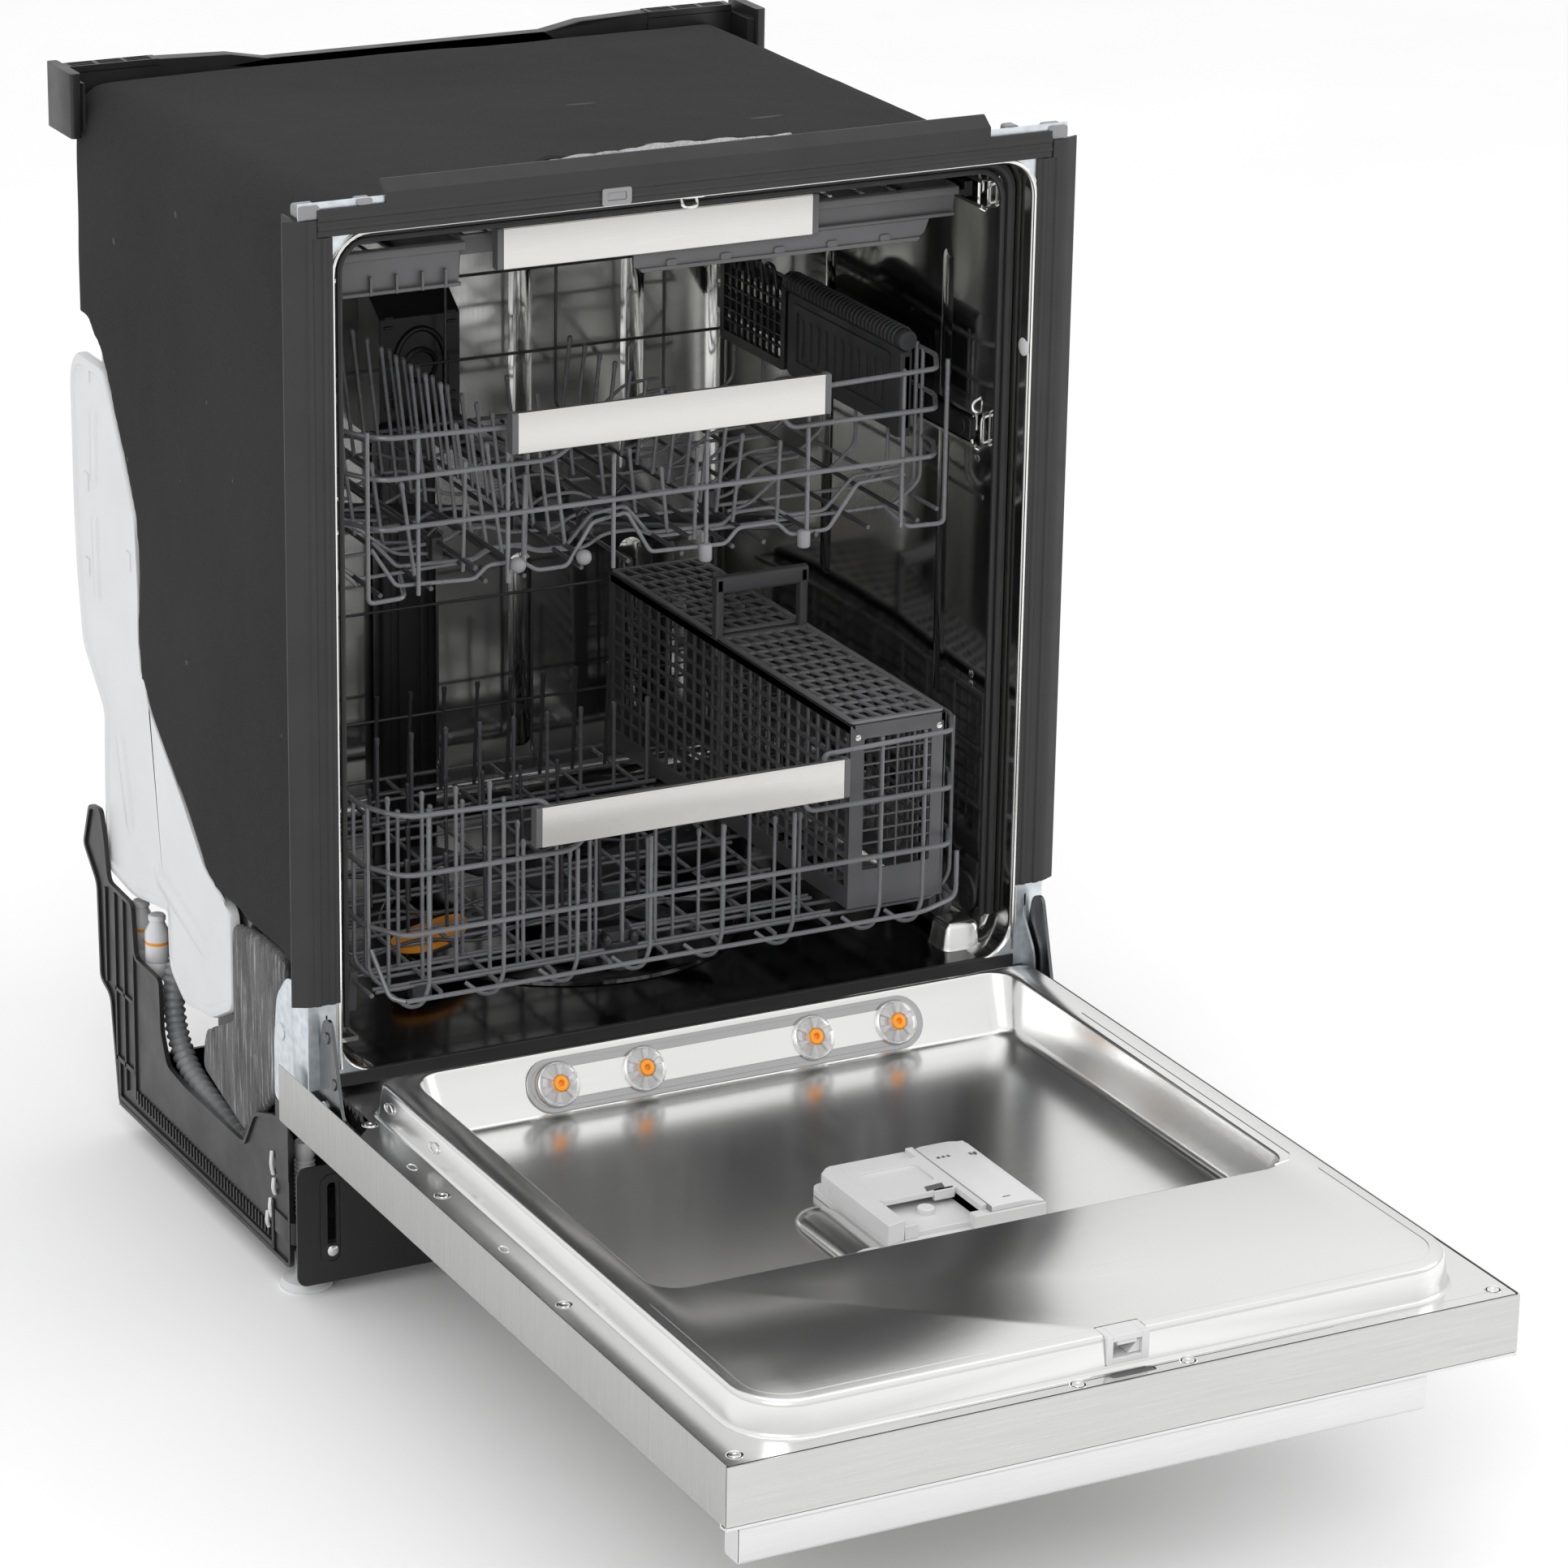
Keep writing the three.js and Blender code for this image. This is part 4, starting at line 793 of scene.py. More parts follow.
def base():
    smooth = softened(BASE_WALL, 6, 3)
    side = Shape()
    side.prism(smooth, 285.4, 287.2, "X")
    side.prism(smooth, 287.1, 289.2, "X", [inset(smooth, 3.2)])
    for y, low, high in ((452, 120, 200), (432, 40, 202), (414, 40, 202), (394, 40, 200)):
        side.block(287, 289, y - 1.5, y + 1.5, low, high)
    for low, high in ((60, 64), (120, 123)):
        side.block(287, 289, 394, 436, low, high)
    for i in range(44):
        y = 122 + i * 6.2
        side.block(287, 288.8, y, y + 2.2, 33 + i * 0.1, 44 + i * 0.1)
    side.block(284, 289.2, 114, 430, 27, 31)
    frame_parts = Shape()
    frame_parts.prism(rect(-289, 289, 112, 430), 22, 26, "Z", [rect(-190, 190, 130, 380)])
    frame_parts.block(-289, 289, 112, 116, 22, 66)
    frame_parts.block(-289, 289, 426, 430, 22, 60)
    for x in range(-240, 241, 60):
        frame_parts.block(x - 1.5, x + 1.5, 116, 132, 26, 58)
        frame_parts.block(x - 1.5, x + 1.5, 412, 427, 26, 54)
    for sign in (-1, 1):
        frame_parts.prism(rounded(*beside(sign, 250, 289), 76, 114, 6, 3), 42, 60, "Z",
                          [disc(sign * 270, 95, 9)])
        frame_parts.block(*beside(sign, 200, 204), 114, 428, 24, 206)
        for y in range(150, 420, 45):
            frame_parts.block(*beside(sign, 204, 212), y, y + 3, 27, 190)
    frame_parts.turned([(16, 24), (16, 52), (14, 56), (9, 56), (9, 24)], (0, 410, 0))
    frame_parts.made("base_frame", "cabinet", BLACK, "base_pan", "black_plastic", bevel=0.6)
    both_sides(side, "base_side_{}", "cabinet", BLACK, "", "black_plastic", bevel=0.5)

    clip = Shape()
    for y, z, long in ((124, 96, 9), (121, 78, 6), (128, 58, 7), (134, 46, 6)):
        clip.tube(bent([(-288, y - 11, z - long), (-290.6, y - 13, z), (-288, y - 9, z + long)], 4), 1.6)
    clip.made("lead_clips", "cabinet", WHITE, slot="white_plastic")

    kick = Shape()
    slots = [slot_outline(sign * 262, 65, 30, 3.6, 90) for sign in (-1, 1)]
    kick.prism(rounded(-290, 290, 14, 110, 8, 5), 63, 65, "Y", slots)
    for sign in (-1, 1):
        big, small = slot_outline(sign * 262, 65, 37, 9.5, 90), slot_outline(sign * 262, 65, 34, 6.5, 90)
        kick.prism(big, 62.2, 63.2, "Y", [small])
    for sign in (-1, 1):
        kick.wire([(sign * 196, 62.9, 52), (sign * 196, 62.9, 34), (sign * 140, 62.9, 34),
                   (sign * 140, 62.9, 48)], 1.1, 5)
    kick.block(-246, 246, 65, 75.2, 40, 43)
    kick.made("toe_plate", "cabinet", BLACK, "kick_panel", "black_plastic", bevel=0.5)
    screws = Shape()
    for sign in (-1, 1):
        screws.turned([(4.6, 63), (4.4, 61.2), (3, 60.2), (0, 60)], (sign * 262, 0, 40), "Y", 18)
    screws.made("toe_screws", "cabinet", BRIGHT, slot="galvanised_steel")

    pump = Shape()
    pump.turned([(0, 80.5), (58, 80.5), (66, 86), (70, 100), (70, 178), (90, 182), (126, 187),
                 (144, 203), (145, 207),
                 (132, 207), (122, 193), (60, 187), (0, 187)], (0, SUMP_Y, 0), steps=48)
    pump.turned([(0, 66), (38, 66), (41.6, 70), (41.6, 84), (38, 85), (38, 92), (41.6, 93), (41.6, 164),
                 (36, 169.6), (0, 169.6)],
                (0, SUMP_Y, 120), "X", 32)
    pump.turned([(0, -150), (22, -150), (25.6, -146), (25.6, -60), (0, -60)], (0, SUMP_Y - 20, 112), "X",
                24)
    for c, s in around(12):
        pump.tube([(70.5 * c, SUMP_Y + 70.5 * s, z) for z in (100, 174)], 1.8, 6)
    pump.made("sump", "cabinet", BLACK, "sump_pump", "black_plastic", angle=40)

    cup = Shape()
    cy = SUMP_Y - 65
    cup.turned([(30, 214), (34, 213.6), (34, 216), (45, 217), (45.3, 214), (42, 213), (42, 152),
                (0, 151.4)], (0, cy, 0), steps=36)
    cup.turned([(34, 216), (33, 165), (0, 163)], (0, cy, 0), steps=36)
    for c, s in around(4, 0.5):
        cup.tube([(r * c, cy + r * s, 214) for r in (8, 36)], 2.2, 8)
    cup.turned([(0, 209), (9, 209), (9, 216), (7, 217), (0, 217)], (0, cy, 0))
    for c, s in around(36):
        cup.tube([(43.6 * c, cy + 43.6 * s, z) for z in (212.5, 217)], 0.9, 5)
    cup.made("filter", "cabinet", DARK, "filter_cup", "grey_plastic", angle=40)


def feet():
    for node, body, x, y in (("foot_front_left", "left_foot", -270, 95),
                             ("foot_front_right", "right_foot", 270, 95),
                             ("foot_rear", "rear_foot", 0, 410)):
        top = extent(node)[5]
        foot = Shape()
        profile = [(0, 0), (19, 0), (20, 1.2), (20, 3.4), (17.5, 6.6), (9, 8.8)]
        z = 12.0
        while z < top - 14:
            profile += [(6.6, z - 1.2), (8, z), (6.6, z + 1.2)]
            z += 3.6
        profile += [(7.6, top - 12), (8, top - 11), (8, top - 3), (7, top), (0, top)]
        foot.turned(profile, (x, y, 0), steps=28)
        foot.made(node.replace("foot_", "levelling_foot_"), body, WHITE, node, "pale_plastic", angle=30)


def rear_rail():
    rail = Shape()
    outline = [(-209, 808), (-188, 812), (-150, 820), (150, 820), (188, 812), (209, 808), (209, 851),
               (150, 849),
               (118, 843), (-118, 843), (-150, 849), (-209, 851)]
    rail.prism(outline, 500, 503, "Y")
    rail.prism([(-209, 842), (-150, 840), (-118, 836), (118, 836), (150, 840), (209, 842), (209, 851),
                (150, 849),
                (118, 843), (-118, 843), (-150, 849), (-209, 851)], 500, 513.9, "Y")
    for sign in (-1, 1):
        x0, x1 = beside(sign, 209, 284)
        holes = [rounded(u, u + 20, v, v + 3.2, 0.8, 2) for u in (x0 + 4, x0 + 27, x0 + 50)
                 for v in (501.6, 506, 510.2)]
        rail.prism(rect(x0, x1, 499.4, 513.9), 846, 851.6, "Z", holes)
        rail.block(x0, x1, 499.4, 502, 808, 847)
        rail.block(x0, x1, 511, 513.9, 812, 847)
        rail.prism(rounded(*beside(sign, 287.2, 295.8), 462.4, 513.6, 2.2, 3), 804.4, 854.6)
        c, d = beside(sign, 283, 288)
        rail.prism([(c, 470), (d, 466), (d, 512), (c, 512)], 808, 846)
    rail.made("wall_rail", "cabinet", BLACK, "rear_top_rail", "black_plastic", bevel=0.7)


HINGE = (-10, 190)  # y and z of the door's hinge pins


def hinges():
    plate = [(-20, 180), (16, 156), (98, 156), (98, 200), (92, 240), (72, 262), (0, 265.5), (0, 240),
             (-18, 215)]
    soft = softened(plate, 8, 4)
    bracket = Shape()
    bracket.prism(soft, 290.3, 292.1, "X")
    swage = [(14, 176), (58, 168), (66, 250), (40, 256)]
    outer = softened(swage, 10, 4)
    bracket.loft([[(292, u, v) for u, v in outer], [(293.6, u, v) for u, v in inset(outer, 3.5)]], end=True)
    bracket.prism(rect(74.2, 98, 96, 155.8), 290.3, 292.1, "X", slot=1)
    bracket.turned([(5, 291), (5, 298.6), (4.2, 299.4), (0, 299.4)], (0, *HINGE), "X", 24)
    bracket.turned([(7, 292), (7, 292.9), (4.6, 293.6), (0, 293.8)], (0, 84, 214), "X", 20)
    both_sides(bracket, "hinge_plate_{}", "cabinet", [ZINC, BLACK], "hinge_bracket_{}",
               "galvanised_steel", bevel=0.25)

    arm = Shape()
    outline = [(-110, 172), (-110, 191), (-40, 191), (-20, 262), (-6, 258), (12, 184), (-8, 174)]
    soft = softened(outline, 7, 4)
    arm.prism(soft, 294.3, 297.1, "X", [disc(*HINGE, 5.5)])
    for y, z in ((-14, 246), (-26, 214), (-72, 181)):
        arm.turned([(4.6, 297), (4.3, 298.4), (2.6, 299.2), (0, 299.3)], (0, y, z), "X", 18)
    both_sides(arm, "hinge_arm_{}_steel", "door", DARK_STEEL, "hinge_arm_{}", "hinge_steel", bevel=0.3)

    # toothed link between the arm and the spring inside the base
    link = Shape()
    teeth = [(-64, 181), (-20, 181), (-8, 189)]
    teeth += [(-14 - 3.4 * i, (194 if i % 2 else 199) - 0.1 * i) for i in range(12)]
    teeth += [(-62, 192)]
    link.prism(teeth, 284.6, 287.2, "X")
    link.turned([(5, 283.8), (5, 288.2), (0, 288.8)], (0, -40, 190), "X", 18)
    both_sides(link, "hinge_link_{}", "door", BLACK, "", "hinge_steel", bevel=0.2)


def plumbing():
    route = [Vector(p) for p in ((-262, 357, 172), (-271, 353, 148), (-271, 347, 114), (-271, 320, 90),
                                 (-270, 268, 78),
                                 (-262, 215, 66), (-232, 190, 66), (-208, 195, 70))]
    path = []
    for a, b, c, d in zip([route[0], *route], route, route[1:], [*route[2:], route[-1]]):
        for k in range(22):
            t = k / 22
            path.append(0.5 * (2 * b + (c - a) * t + (2 * a - 5 * b + 4 * c - d) * t * t
                               + (3 * b - a - 3 * c + d) * t ** 3))
    path.append(route[-1])
    radii = [9.2 if (k // 2) % 2 else 7.6 for k in range(len(path))]
    hose = Shape()
    hose.tube(path, radii, 16)
    hose.made("drain_hose_loop", "cabinet", HOSE, "drain_hose", "hose_plastic", angle=80)
    bottle = Shape()
    for y in (414, 380):
        bottle.turned([(0, 146.4), (6.6, 146.4), (7.4, 148), (9.6, 152), (9.8, 160), (9.3, 161),
                       (9.8, 162), (9.8, 176)],
                      (-273, y, 0))
        bottle.turned([(9.8, 176), (9.9, 178.6)], (-273, y, 0), slot=1)
        bottle.turned([(9.8, 178.6), (9.8, 186), (6.2, 193), (6.2, 195), (7, 195.6), (7, 198.6),
                       (6, 199.8), (0, 199.8)],
                      (-273, y, 0))
    bottle.tube([(-273, 384, 172), (-273, 397, 168), (-273, 410, 172)], 2.6, 10)
    bottle.made("inlet_valve_bottles", "cabinet", [WHITE, ORANGE], "inlet_bottles", "white_plastic",
                angle=50)


def duct():
    back = TUB_BACK - 0.4
    pipe = Shape()
    pipe.prism(rounded(-42, 8, 466.4, back, 5, 4), 212.4, 545)
    for x in (-30, -4):
        pipe.prism(rounded(x - 4, x + 4, 465.6, 470, 1.8, 3), 222, 538)
    pipe.prism([(back, 540), (463, 540), (443, 556), (443, 640), (463, 654.6), (back, 654.6)], -51.6,
               17.6, "X")
    arch = [(-40 + 23 - 22 * math.cos(a), 600 + 30 * math.sin(a))
            for a in (math.pi * k / 14 for k in range(15))]
    face = 442.6
    pipe.tube([(-39, face, 566), *[(u, face, v) for u, v in arch], (5, face, 566)], 2.6, 10)
    pipe.turned([(15, 446), (15, 441.5), (12, 439.6), (11, 443), (0, 443.4)], (-17, 0, 600), "Y", 32)
    for z in (566, 574, 632, 640):
        pipe.block(-48, -40, 441.6, 444, z, z + 2.4)
        pipe.block(6, 14, 441.6, 444, z, z + 2.4)
    pipe.made("water_pipe", "cabinet", BLACK, "water_duct", "black_plastic", bevel=0.8)


def rails():
    for node, low, high in (("rail_upper", 606, 634), ("rail_third", 791, 813)):
        rail = Shape()
        y0, y1 = 42.2, 469.6
        profile = [(272.6, low + 0.2), (259.4, low + 0.2), (259.4, low + 3), (260.4, low + 3),
                   (260.4, low + 1.4),
                   (271.4, low + 1.4), (271.4, high - 1.4), (260.4, high - 1.4), (260.4, high - 3),
                   (259.4, high - 3),
                   (259.4, high - 0.2), (272.6, high - 0.2)]
        rail.prism(profile, y0, y1, "Y")
        for y in (70, 250, 440):
            rail.prism(rounded(y - 9, y + 9, low + 5, high - 5, 4, 4), 270.6, 271.6, "X")
        both_sides(rail, node + "_channel_{}", "cabinet", BRIGHT, node + "_{}", "galvanised_steel",
                   bevel=0.25)
        stop = Shape()
        stop.wire([(271.6, 44, high - 4), (264.8, 41.4, high - 4), (264.8, 41.4, low + 4),
                   (271.6, 44, low + 4)], 1.3, 4)
        stop.wire([(272, 58, high + 6), (267, 60, high + 3), (267, 60, low - 3), (272, 58, low - 6)],
                  1.3, 4)
        both_sides(stop, node + "_stop_{}", "cabinet", BRIGHT, "", "galvanised_steel")


ARM_Y = 222  # the lower spray arm's spindle
ARM_TURN = 205  # the way the lower arm's orange end points, in degrees


def heading(degrees):
    """Unit vectors along and across a direction in plan."""
    a = math.radians(degrees)
    return Vector((math.cos(a), math.sin(a), 0)), Vector((-math.sin(a), math.cos(a), 0))


def arm_blade(shape, cy, z0, z1, reach, half, degrees):
    """One spray arm blade: a rounded section that narrows to its tips, with nozzle bosses on top."""
    along, across = heading(degrees)
    middle = Vector((0, cy, (z0 + z1) / 2))
    loops = []
    for k in range(25):
        t = -1 + 2 * k / 24
        wide = half * (0.62 + 0.38 * math.cos(t * 1.5)) * min(1.0, math.sqrt(max(0.0, 1.0004 - t
                                                                                 * t)) * 3 + 0.02)
        tall = (z1 - z0) / 2 * min(1.0, math.sqrt(max(0.0, 1.0004 - t * t)) * 3.2 + 0.05)
        spot = middle + along * (reach * t)
        loops.append([spot + across * (wide * c) + Vector((0, 0, tall * math.copysign(abs(s) ** 0.7, s)))
                      for c, s in around(20)])
    shape.loft(loops, start=True, end=True)
    for t in (-0.86, -0.7, -0.52, -0.36, 0.36, 0.52, 0.7, 0.86):
        spot = middle + along * (reach * t) + across * (half * 0.18 * (1 if round(t * 100) % 4 else -1))
        shape.turned([(3.6, 0), (3.2, 1.6), (1.6, 1.9), (1.2, 0.4), (0, 0.4)],
                     (spot.x, spot.y, z1 - 0.9), steps=14)


def spray_arms():
    cy = ARM_Y
    arm = Shape()
    arm_blade(arm, cy, 228, 238, 182, 22, ARM_TURN)
    arm_blade(arm, cy, 229, 236, 149, 17, 118)
    arm.turned([(0, 222), (27, 222), (28, 224), (28, 232), (24, 240), (18, 241.8), (9, 241.8), (8, 239),
                (0, 239)], (0, cy, 0))
    for c, s in around(10):
        arm.tube([(r * c, cy + r * s, z) for r, z in ((24, 238), (12, 241.4))], 1.2, 6)
    arm.made("spray_arm_low", "lower_arm", DARK, "lower_spray_arm", "grey_plastic", angle=40)
    tip = Shape()
    along, across = heading(ARM_TURN)
    middle = Vector((0, cy, 0))

    def on_arm(places):
        return [tuple((middle + along * u + across * w).xy) for u, w in places]

    outline = on_arm(((108, -10), (118, -15), (150, -19), (172, -18), (186, -12), (193, 0), (186, 12),
                      (172, 18),
                      (150, 19), (124, 12), (112, 4)))
    holes = [disc(u, v, 2.4, 12) for u, v in on_arm(((170, -7), (176, 4), (164, 9), (150, 2)))]
    tip.prism(softened(outline, 9, 4), 236.5, 241, "Z", holes)
    tip.made("spray_arm_tip", "lower_arm", ORANGE, slot="grey_plastic", bevel=1.1, segments=3)
    cy = 240
    arm = Shape()
    arm_blade(arm, cy, 526, 535, 189, 17, 150)
    arm.turned([(0, 522), (20, 522), (22, 524), (22, 533), (17, 537.6), (0, 537.6)], (0, cy, 0))
    arm.made("spray_arm_high", "upper_arm", DARK, "upper_spray_arm", "grey_plastic", angle=40)


# ------------------------------------------------------------------ door
RIM = (-274, 274, -645, -40, 44)
POCKET = (-247, 247, -455, -50, 22)  # x0, x1, y0, y1 and corner radius, as in the two others
POCKET_BED = (-239, 239, -441, -72, 14)
RIM_TOP = 220
BED = 179  # floor of the pocket
DECK = 195.3  # the door's inner flange


def lerp_loop(first, second, t, z, by=0.0):
    """Loop between two others at height z, shrunk towards its middle by so many millimetres."""
    loop = []
    for a, b in zip(first, second):
        u, v = a[0] + (b[0] - a[0]) * t, a[1] + (b[1] - a[1]) * t
        loop.append((u - math.copysign(by, u), v - math.copysign(by, v + 252), z))
    return loop


def carved(piece, cutter):
    """Cuts one closed shape out of a finished piece and drops the cutter."""
    mesh = bpy.data.meshes.new("cutter")
    mesh.from_pydata([at(*v) for v in cutter.verts], [], cutter.faces)
    tool = bpy.data.objects.new("cutter", mesh)
    bpy.context.scene.collection.objects.link(tool)
    cut = piece.modifiers.new("cut", "BOOLEAN")
    cut.operation = "DIFFERENCE"
    cut.solver = "EXACT"
    cut.object = tool
    graph = bpy.context.evaluated_depsgraph_get()
    result = bpy.data.meshes.new_from_object(piece.evaluated_get(graph))
    piece.modifiers.clear()
    piece.data = result
    bpy.data.objects.remove(tool)


def liner():
    shell = Shape()
    loops = [grown(*RIM, by, z, far=16) for by,
             z in ((3, DECK), (0.9, 196.2), (0, 198.3), (-2.4, 215.6), (-2.9, 217.6),
                                              (-4.2, 219.2), (-6.8, RIM_TOP))]
    mouth, bed = grown(*POCKET, 0, 218.2), grown(*POCKET_BED, 0, BED)
    loops += [grown(*POCKET, 1.9, RIM_TOP), grown(*POCKET, 0.5, 219.5), mouth]
    loops += [lerp_loop(mouth, bed, t, z, by) for t, z, by in (
        (0.3, 206.4, 0), (0.6, 194.6, 0), (0.84, 185.3, 0), (0.92, 182.2, 0.4), (0.98, 180.2, 2),
        (1, 179.2, 5),
        (1, BED, 9))]
    shell.loft(loops, end=True)
    piece = shell.made("liner_pressing", "door", LINER, "door_liner", "satin_liner_steel", solid=0.7,
                       angle=50)
    carved(piece, Shape().block(-14.6, 18.6, -650, -628, 199.2, 222))

    flange = Shape()
    outline = [(-299.8, -650.2), (299.8, -650.2), (299.8, -80), (283, -62), (283, 65.6), (-283, 65.6),
               (-283, -62),
               (-299.8, -80)]
    hole = [(u, v) for u, v, _ in grown(*RIM, 3, DECK, far=16)]
    catch = rounded(-15, 19, -656, -649.6, 2.6, 3)
    flange.prism(outline, DECK - 0.8, DECK, "Z", [hole])
    flange.prism(rounded(-299.8, 299.8, -660, -650.4, 1, 2), DECK - 0.8, DECK, "Z", [inset(catch, -0.3)])
    flange.made("liner_flange", "door", LINER, slot="satin_liner_steel", bevel=0.25)
    slot_plate = Shape()
    slot_plate.prism(catch, DECK - 1.6, DECK - 0.6)
    slot_plate.made("catch_plate", "door", GREY, slot="grey_plastic", bevel=0.3)

    # bead round the front of the crown, lines along its sides and the small embossed ovals
    bead = Shape()
    line = RIM_TOP - 0.35
    corner = rounded(-261, 261, -631, -100, 30, 10)[:11]
    right = [(261, -470, line), *[(u, v, line) for u, v in corner[::-1]]]
    bead.tube([*right, *[(-u, v, z) for u, v, z in right[::-1]]], 0.7, 6)
    bead.tube([(256, -150, line), (256, -440, line), (249, -449, line), (236, -452, line)], 0.8, 6)
    for y in (-70, -148):
        for sign in (-1, 1):
            bead.tube([(sign * 273.6, y + 7 * c, 208 + 3.4 * s) for c, s in around(18)], 0.6, 6,
                      closed=True)
    for x, y in ((288.7, -145.7), (289, -300)):
        for sign in (-1, 1):
            bead.tube([(sign * (x + 3 * c), y + 5.4 * s, DECK) for c, s in around(18)], 0.6, 6, closed=True)
    bead.made("liner_beads", "door", LINER, slot="satin_liner_steel")

    screws = Shape()
    places = [(-290.5, -399), (290.5, -399), (-285.4, -63.9), (285.4, -63.9), (-290, -200), (290, -200)]
    places += [(-289, -648), (289, -648), (-40, -653.5), (44, -653.5)]
    for x, y in places:
        screws.turned([(4.4, DECK), (4.1, DECK + 0.6), (2.6, DECK + 1), (1.5, DECK + 1), (1.1, DECK + 0.4),
                       (0, DECK + 0.4)], (x, y, 0), steps=20)
        screws.turned([(6.2, DECK + 0.05), (5.9, DECK + 0.35), (5.2, DECK + 0.05)], (x, y, 0), steps=24)
    screws.made("liner_screws", "door", BRIGHT, slot="galvanised_steel")

    duct_bulge = Shape()
    rows = []
    for k in range(13):
        t = k / 12
        wide = 17.5 * min(1.0, math.sqrt(max(0.0, 1 - (1 - min(t, 0.22) / 0.22) ** 2)) + 0.02)
        y = -304 - 90 * t
        rows.append([(-56 + wide * math.cos(a), y, 178.4 + wide * 0.62 * math.sin(a)) for a in
                     (math.pi * j / 16 for j in range(17))])
    duct_bulge.loft(rows, start=True, end=True, ring=False)
    duct_bulge.made("duct_bulge", "door", LINER, slot="satin_liner_steel", angle=60)


def latch():
    frame_piece = Shape()
    for u0, u1, low, high in ((-14.2, -9.4, 199.6, 220.3), (12.4, 18.2, 199.6, 220.3),
                              (-9.6, 12.6, 199.6, 204.2),
                              (-9.6, 12.6, 215.6, 220.3)):
        frame_piece.block(u0, u1, -646.2, -629, low, high)
    frame_piece.block(-9.6, 12.6, -632, -629, 204, 216)
    frame_piece.block(-6, 9, -645.4, -631, 212.6, 215.8)
    frame_piece.prism([(3, 204.4), (12.5, 204.4), (12.5, 215.8)], -643.5, -631, "Y")
    frame_piece.made("latch_frame", "door", PALE, "door_latch", "white_plastic", bevel=0.7, segments=3)


def outer_panel():
    shell = Shape()
    half, base, top = 301.5, 149.6, 195.9
    section = [(half, top), (half, base + 2.6), (half - 0.8, base + 0.8), (half - 2.6, base)]
    section += [(-u, v) for u, v in reversed(section)]
    inner = [(half - 0.8, top), (half - 0.8, base + 2.8), (half - 1.4, base + 1.3),
             (half - 2.8, base + 0.8)]
    section += [(-u, v) for u, v in inner] + [(u, v) for u, v in reversed(inner)]
    shell.prism(section, -655, 67.4, "Y")
    shell.block(-281, 281, 66.4, 67.4, base + 0.6, 184)
    for x0, x1 in ((-half, -half + 0.8), (half - 0.8, half)):
        shell.block(x0, x1, -660.4, -654.9, base + 1.4, top)
    # skin in the darkened door steel: painted shade
    shell.made("door_skin", "door", SHADED_DOOR_STEEL, "door_outer_panel", "brushed_door_steel", bevel=0.2)


def control_strip():
    front = -662.7
    strip = Shape()
    strip.block(-301.5, 301.5, front, front + 1.6, 152.6, 195.3)
    strip.made("control_strip", "door", DOOR_FRONT, "control_panel", "brushed_door_steel", bevel=0.45,
               segments=3)
    lip = Shape()
    profile = [(front + 0.4, 152.2), (front + 0.4, 149.8), (front + 9, 148.8), (front + 9, 150.4),
               (front + 1.8, 152.2)]
    lip.prism(profile, -299.4, 299.4, "X")
    for sign in (-1, 1):
        lip.prism([(front + 0.2, 152.4), (front + 0.2, 149.6), (front + 10, 148.6), (front + 10, 152.4)],
                  *beside(sign, 299.4, 301.5), "X")
    lip.made("control_strip_lip", "door", HANDLE, slot="handle_silver", bevel=0.3)
    # black sheet in the gap behind the control strip: painted shadow between the strip and the door skin
    shadow = Shape()
    shadow.block(-299.8, 299.8, front + 1.4, front + 2.6, 150.6, 194.4)
    shadow.made("strip_painted_shadow", "door", BLACK, slot="black_plastic")


def door_handle():
    bar = Shape()
    bar.prism(rounded(-610, -590, 93, 121, 3.2, 5), -265, 265, "X")
    for sign in (-1, 1):
        bar.prism(rect(-607.4, -591, 119, 149.3), *beside(sign, 200, 265), "X")
    bar.made("handle_grip", "door", HANDLE, "handle_bar", "handle_silver", bevel=0.6, segments=3)
    line = Shape()
    for sign in (-1, 1):
        line.prism(rounded(-609, -591, 94, 120, 2.6, 4), *beside(sign, 265.2, 265.9), "X")
    line.made("handle_end_caps", "door", HANDLE, slot="handle_silver", bevel=0.3)


LEAN = math.atan2(RIM_TOP - BED, 22)  # slope of the pocket's rear wall, 22 mm deep over its height


def lean(shape):
    """Turns a shape drawn flat on the door's leaning rear wall into machine coordinates."""
    c, s = math.cos(LEAN), math.sin(LEAN)
    shape.verts = [Vector((v.x, -61 + v.y * c - v.z * s, 199.5 + v.y * s + v.z * c)) for v in shape.verts]
    return shape


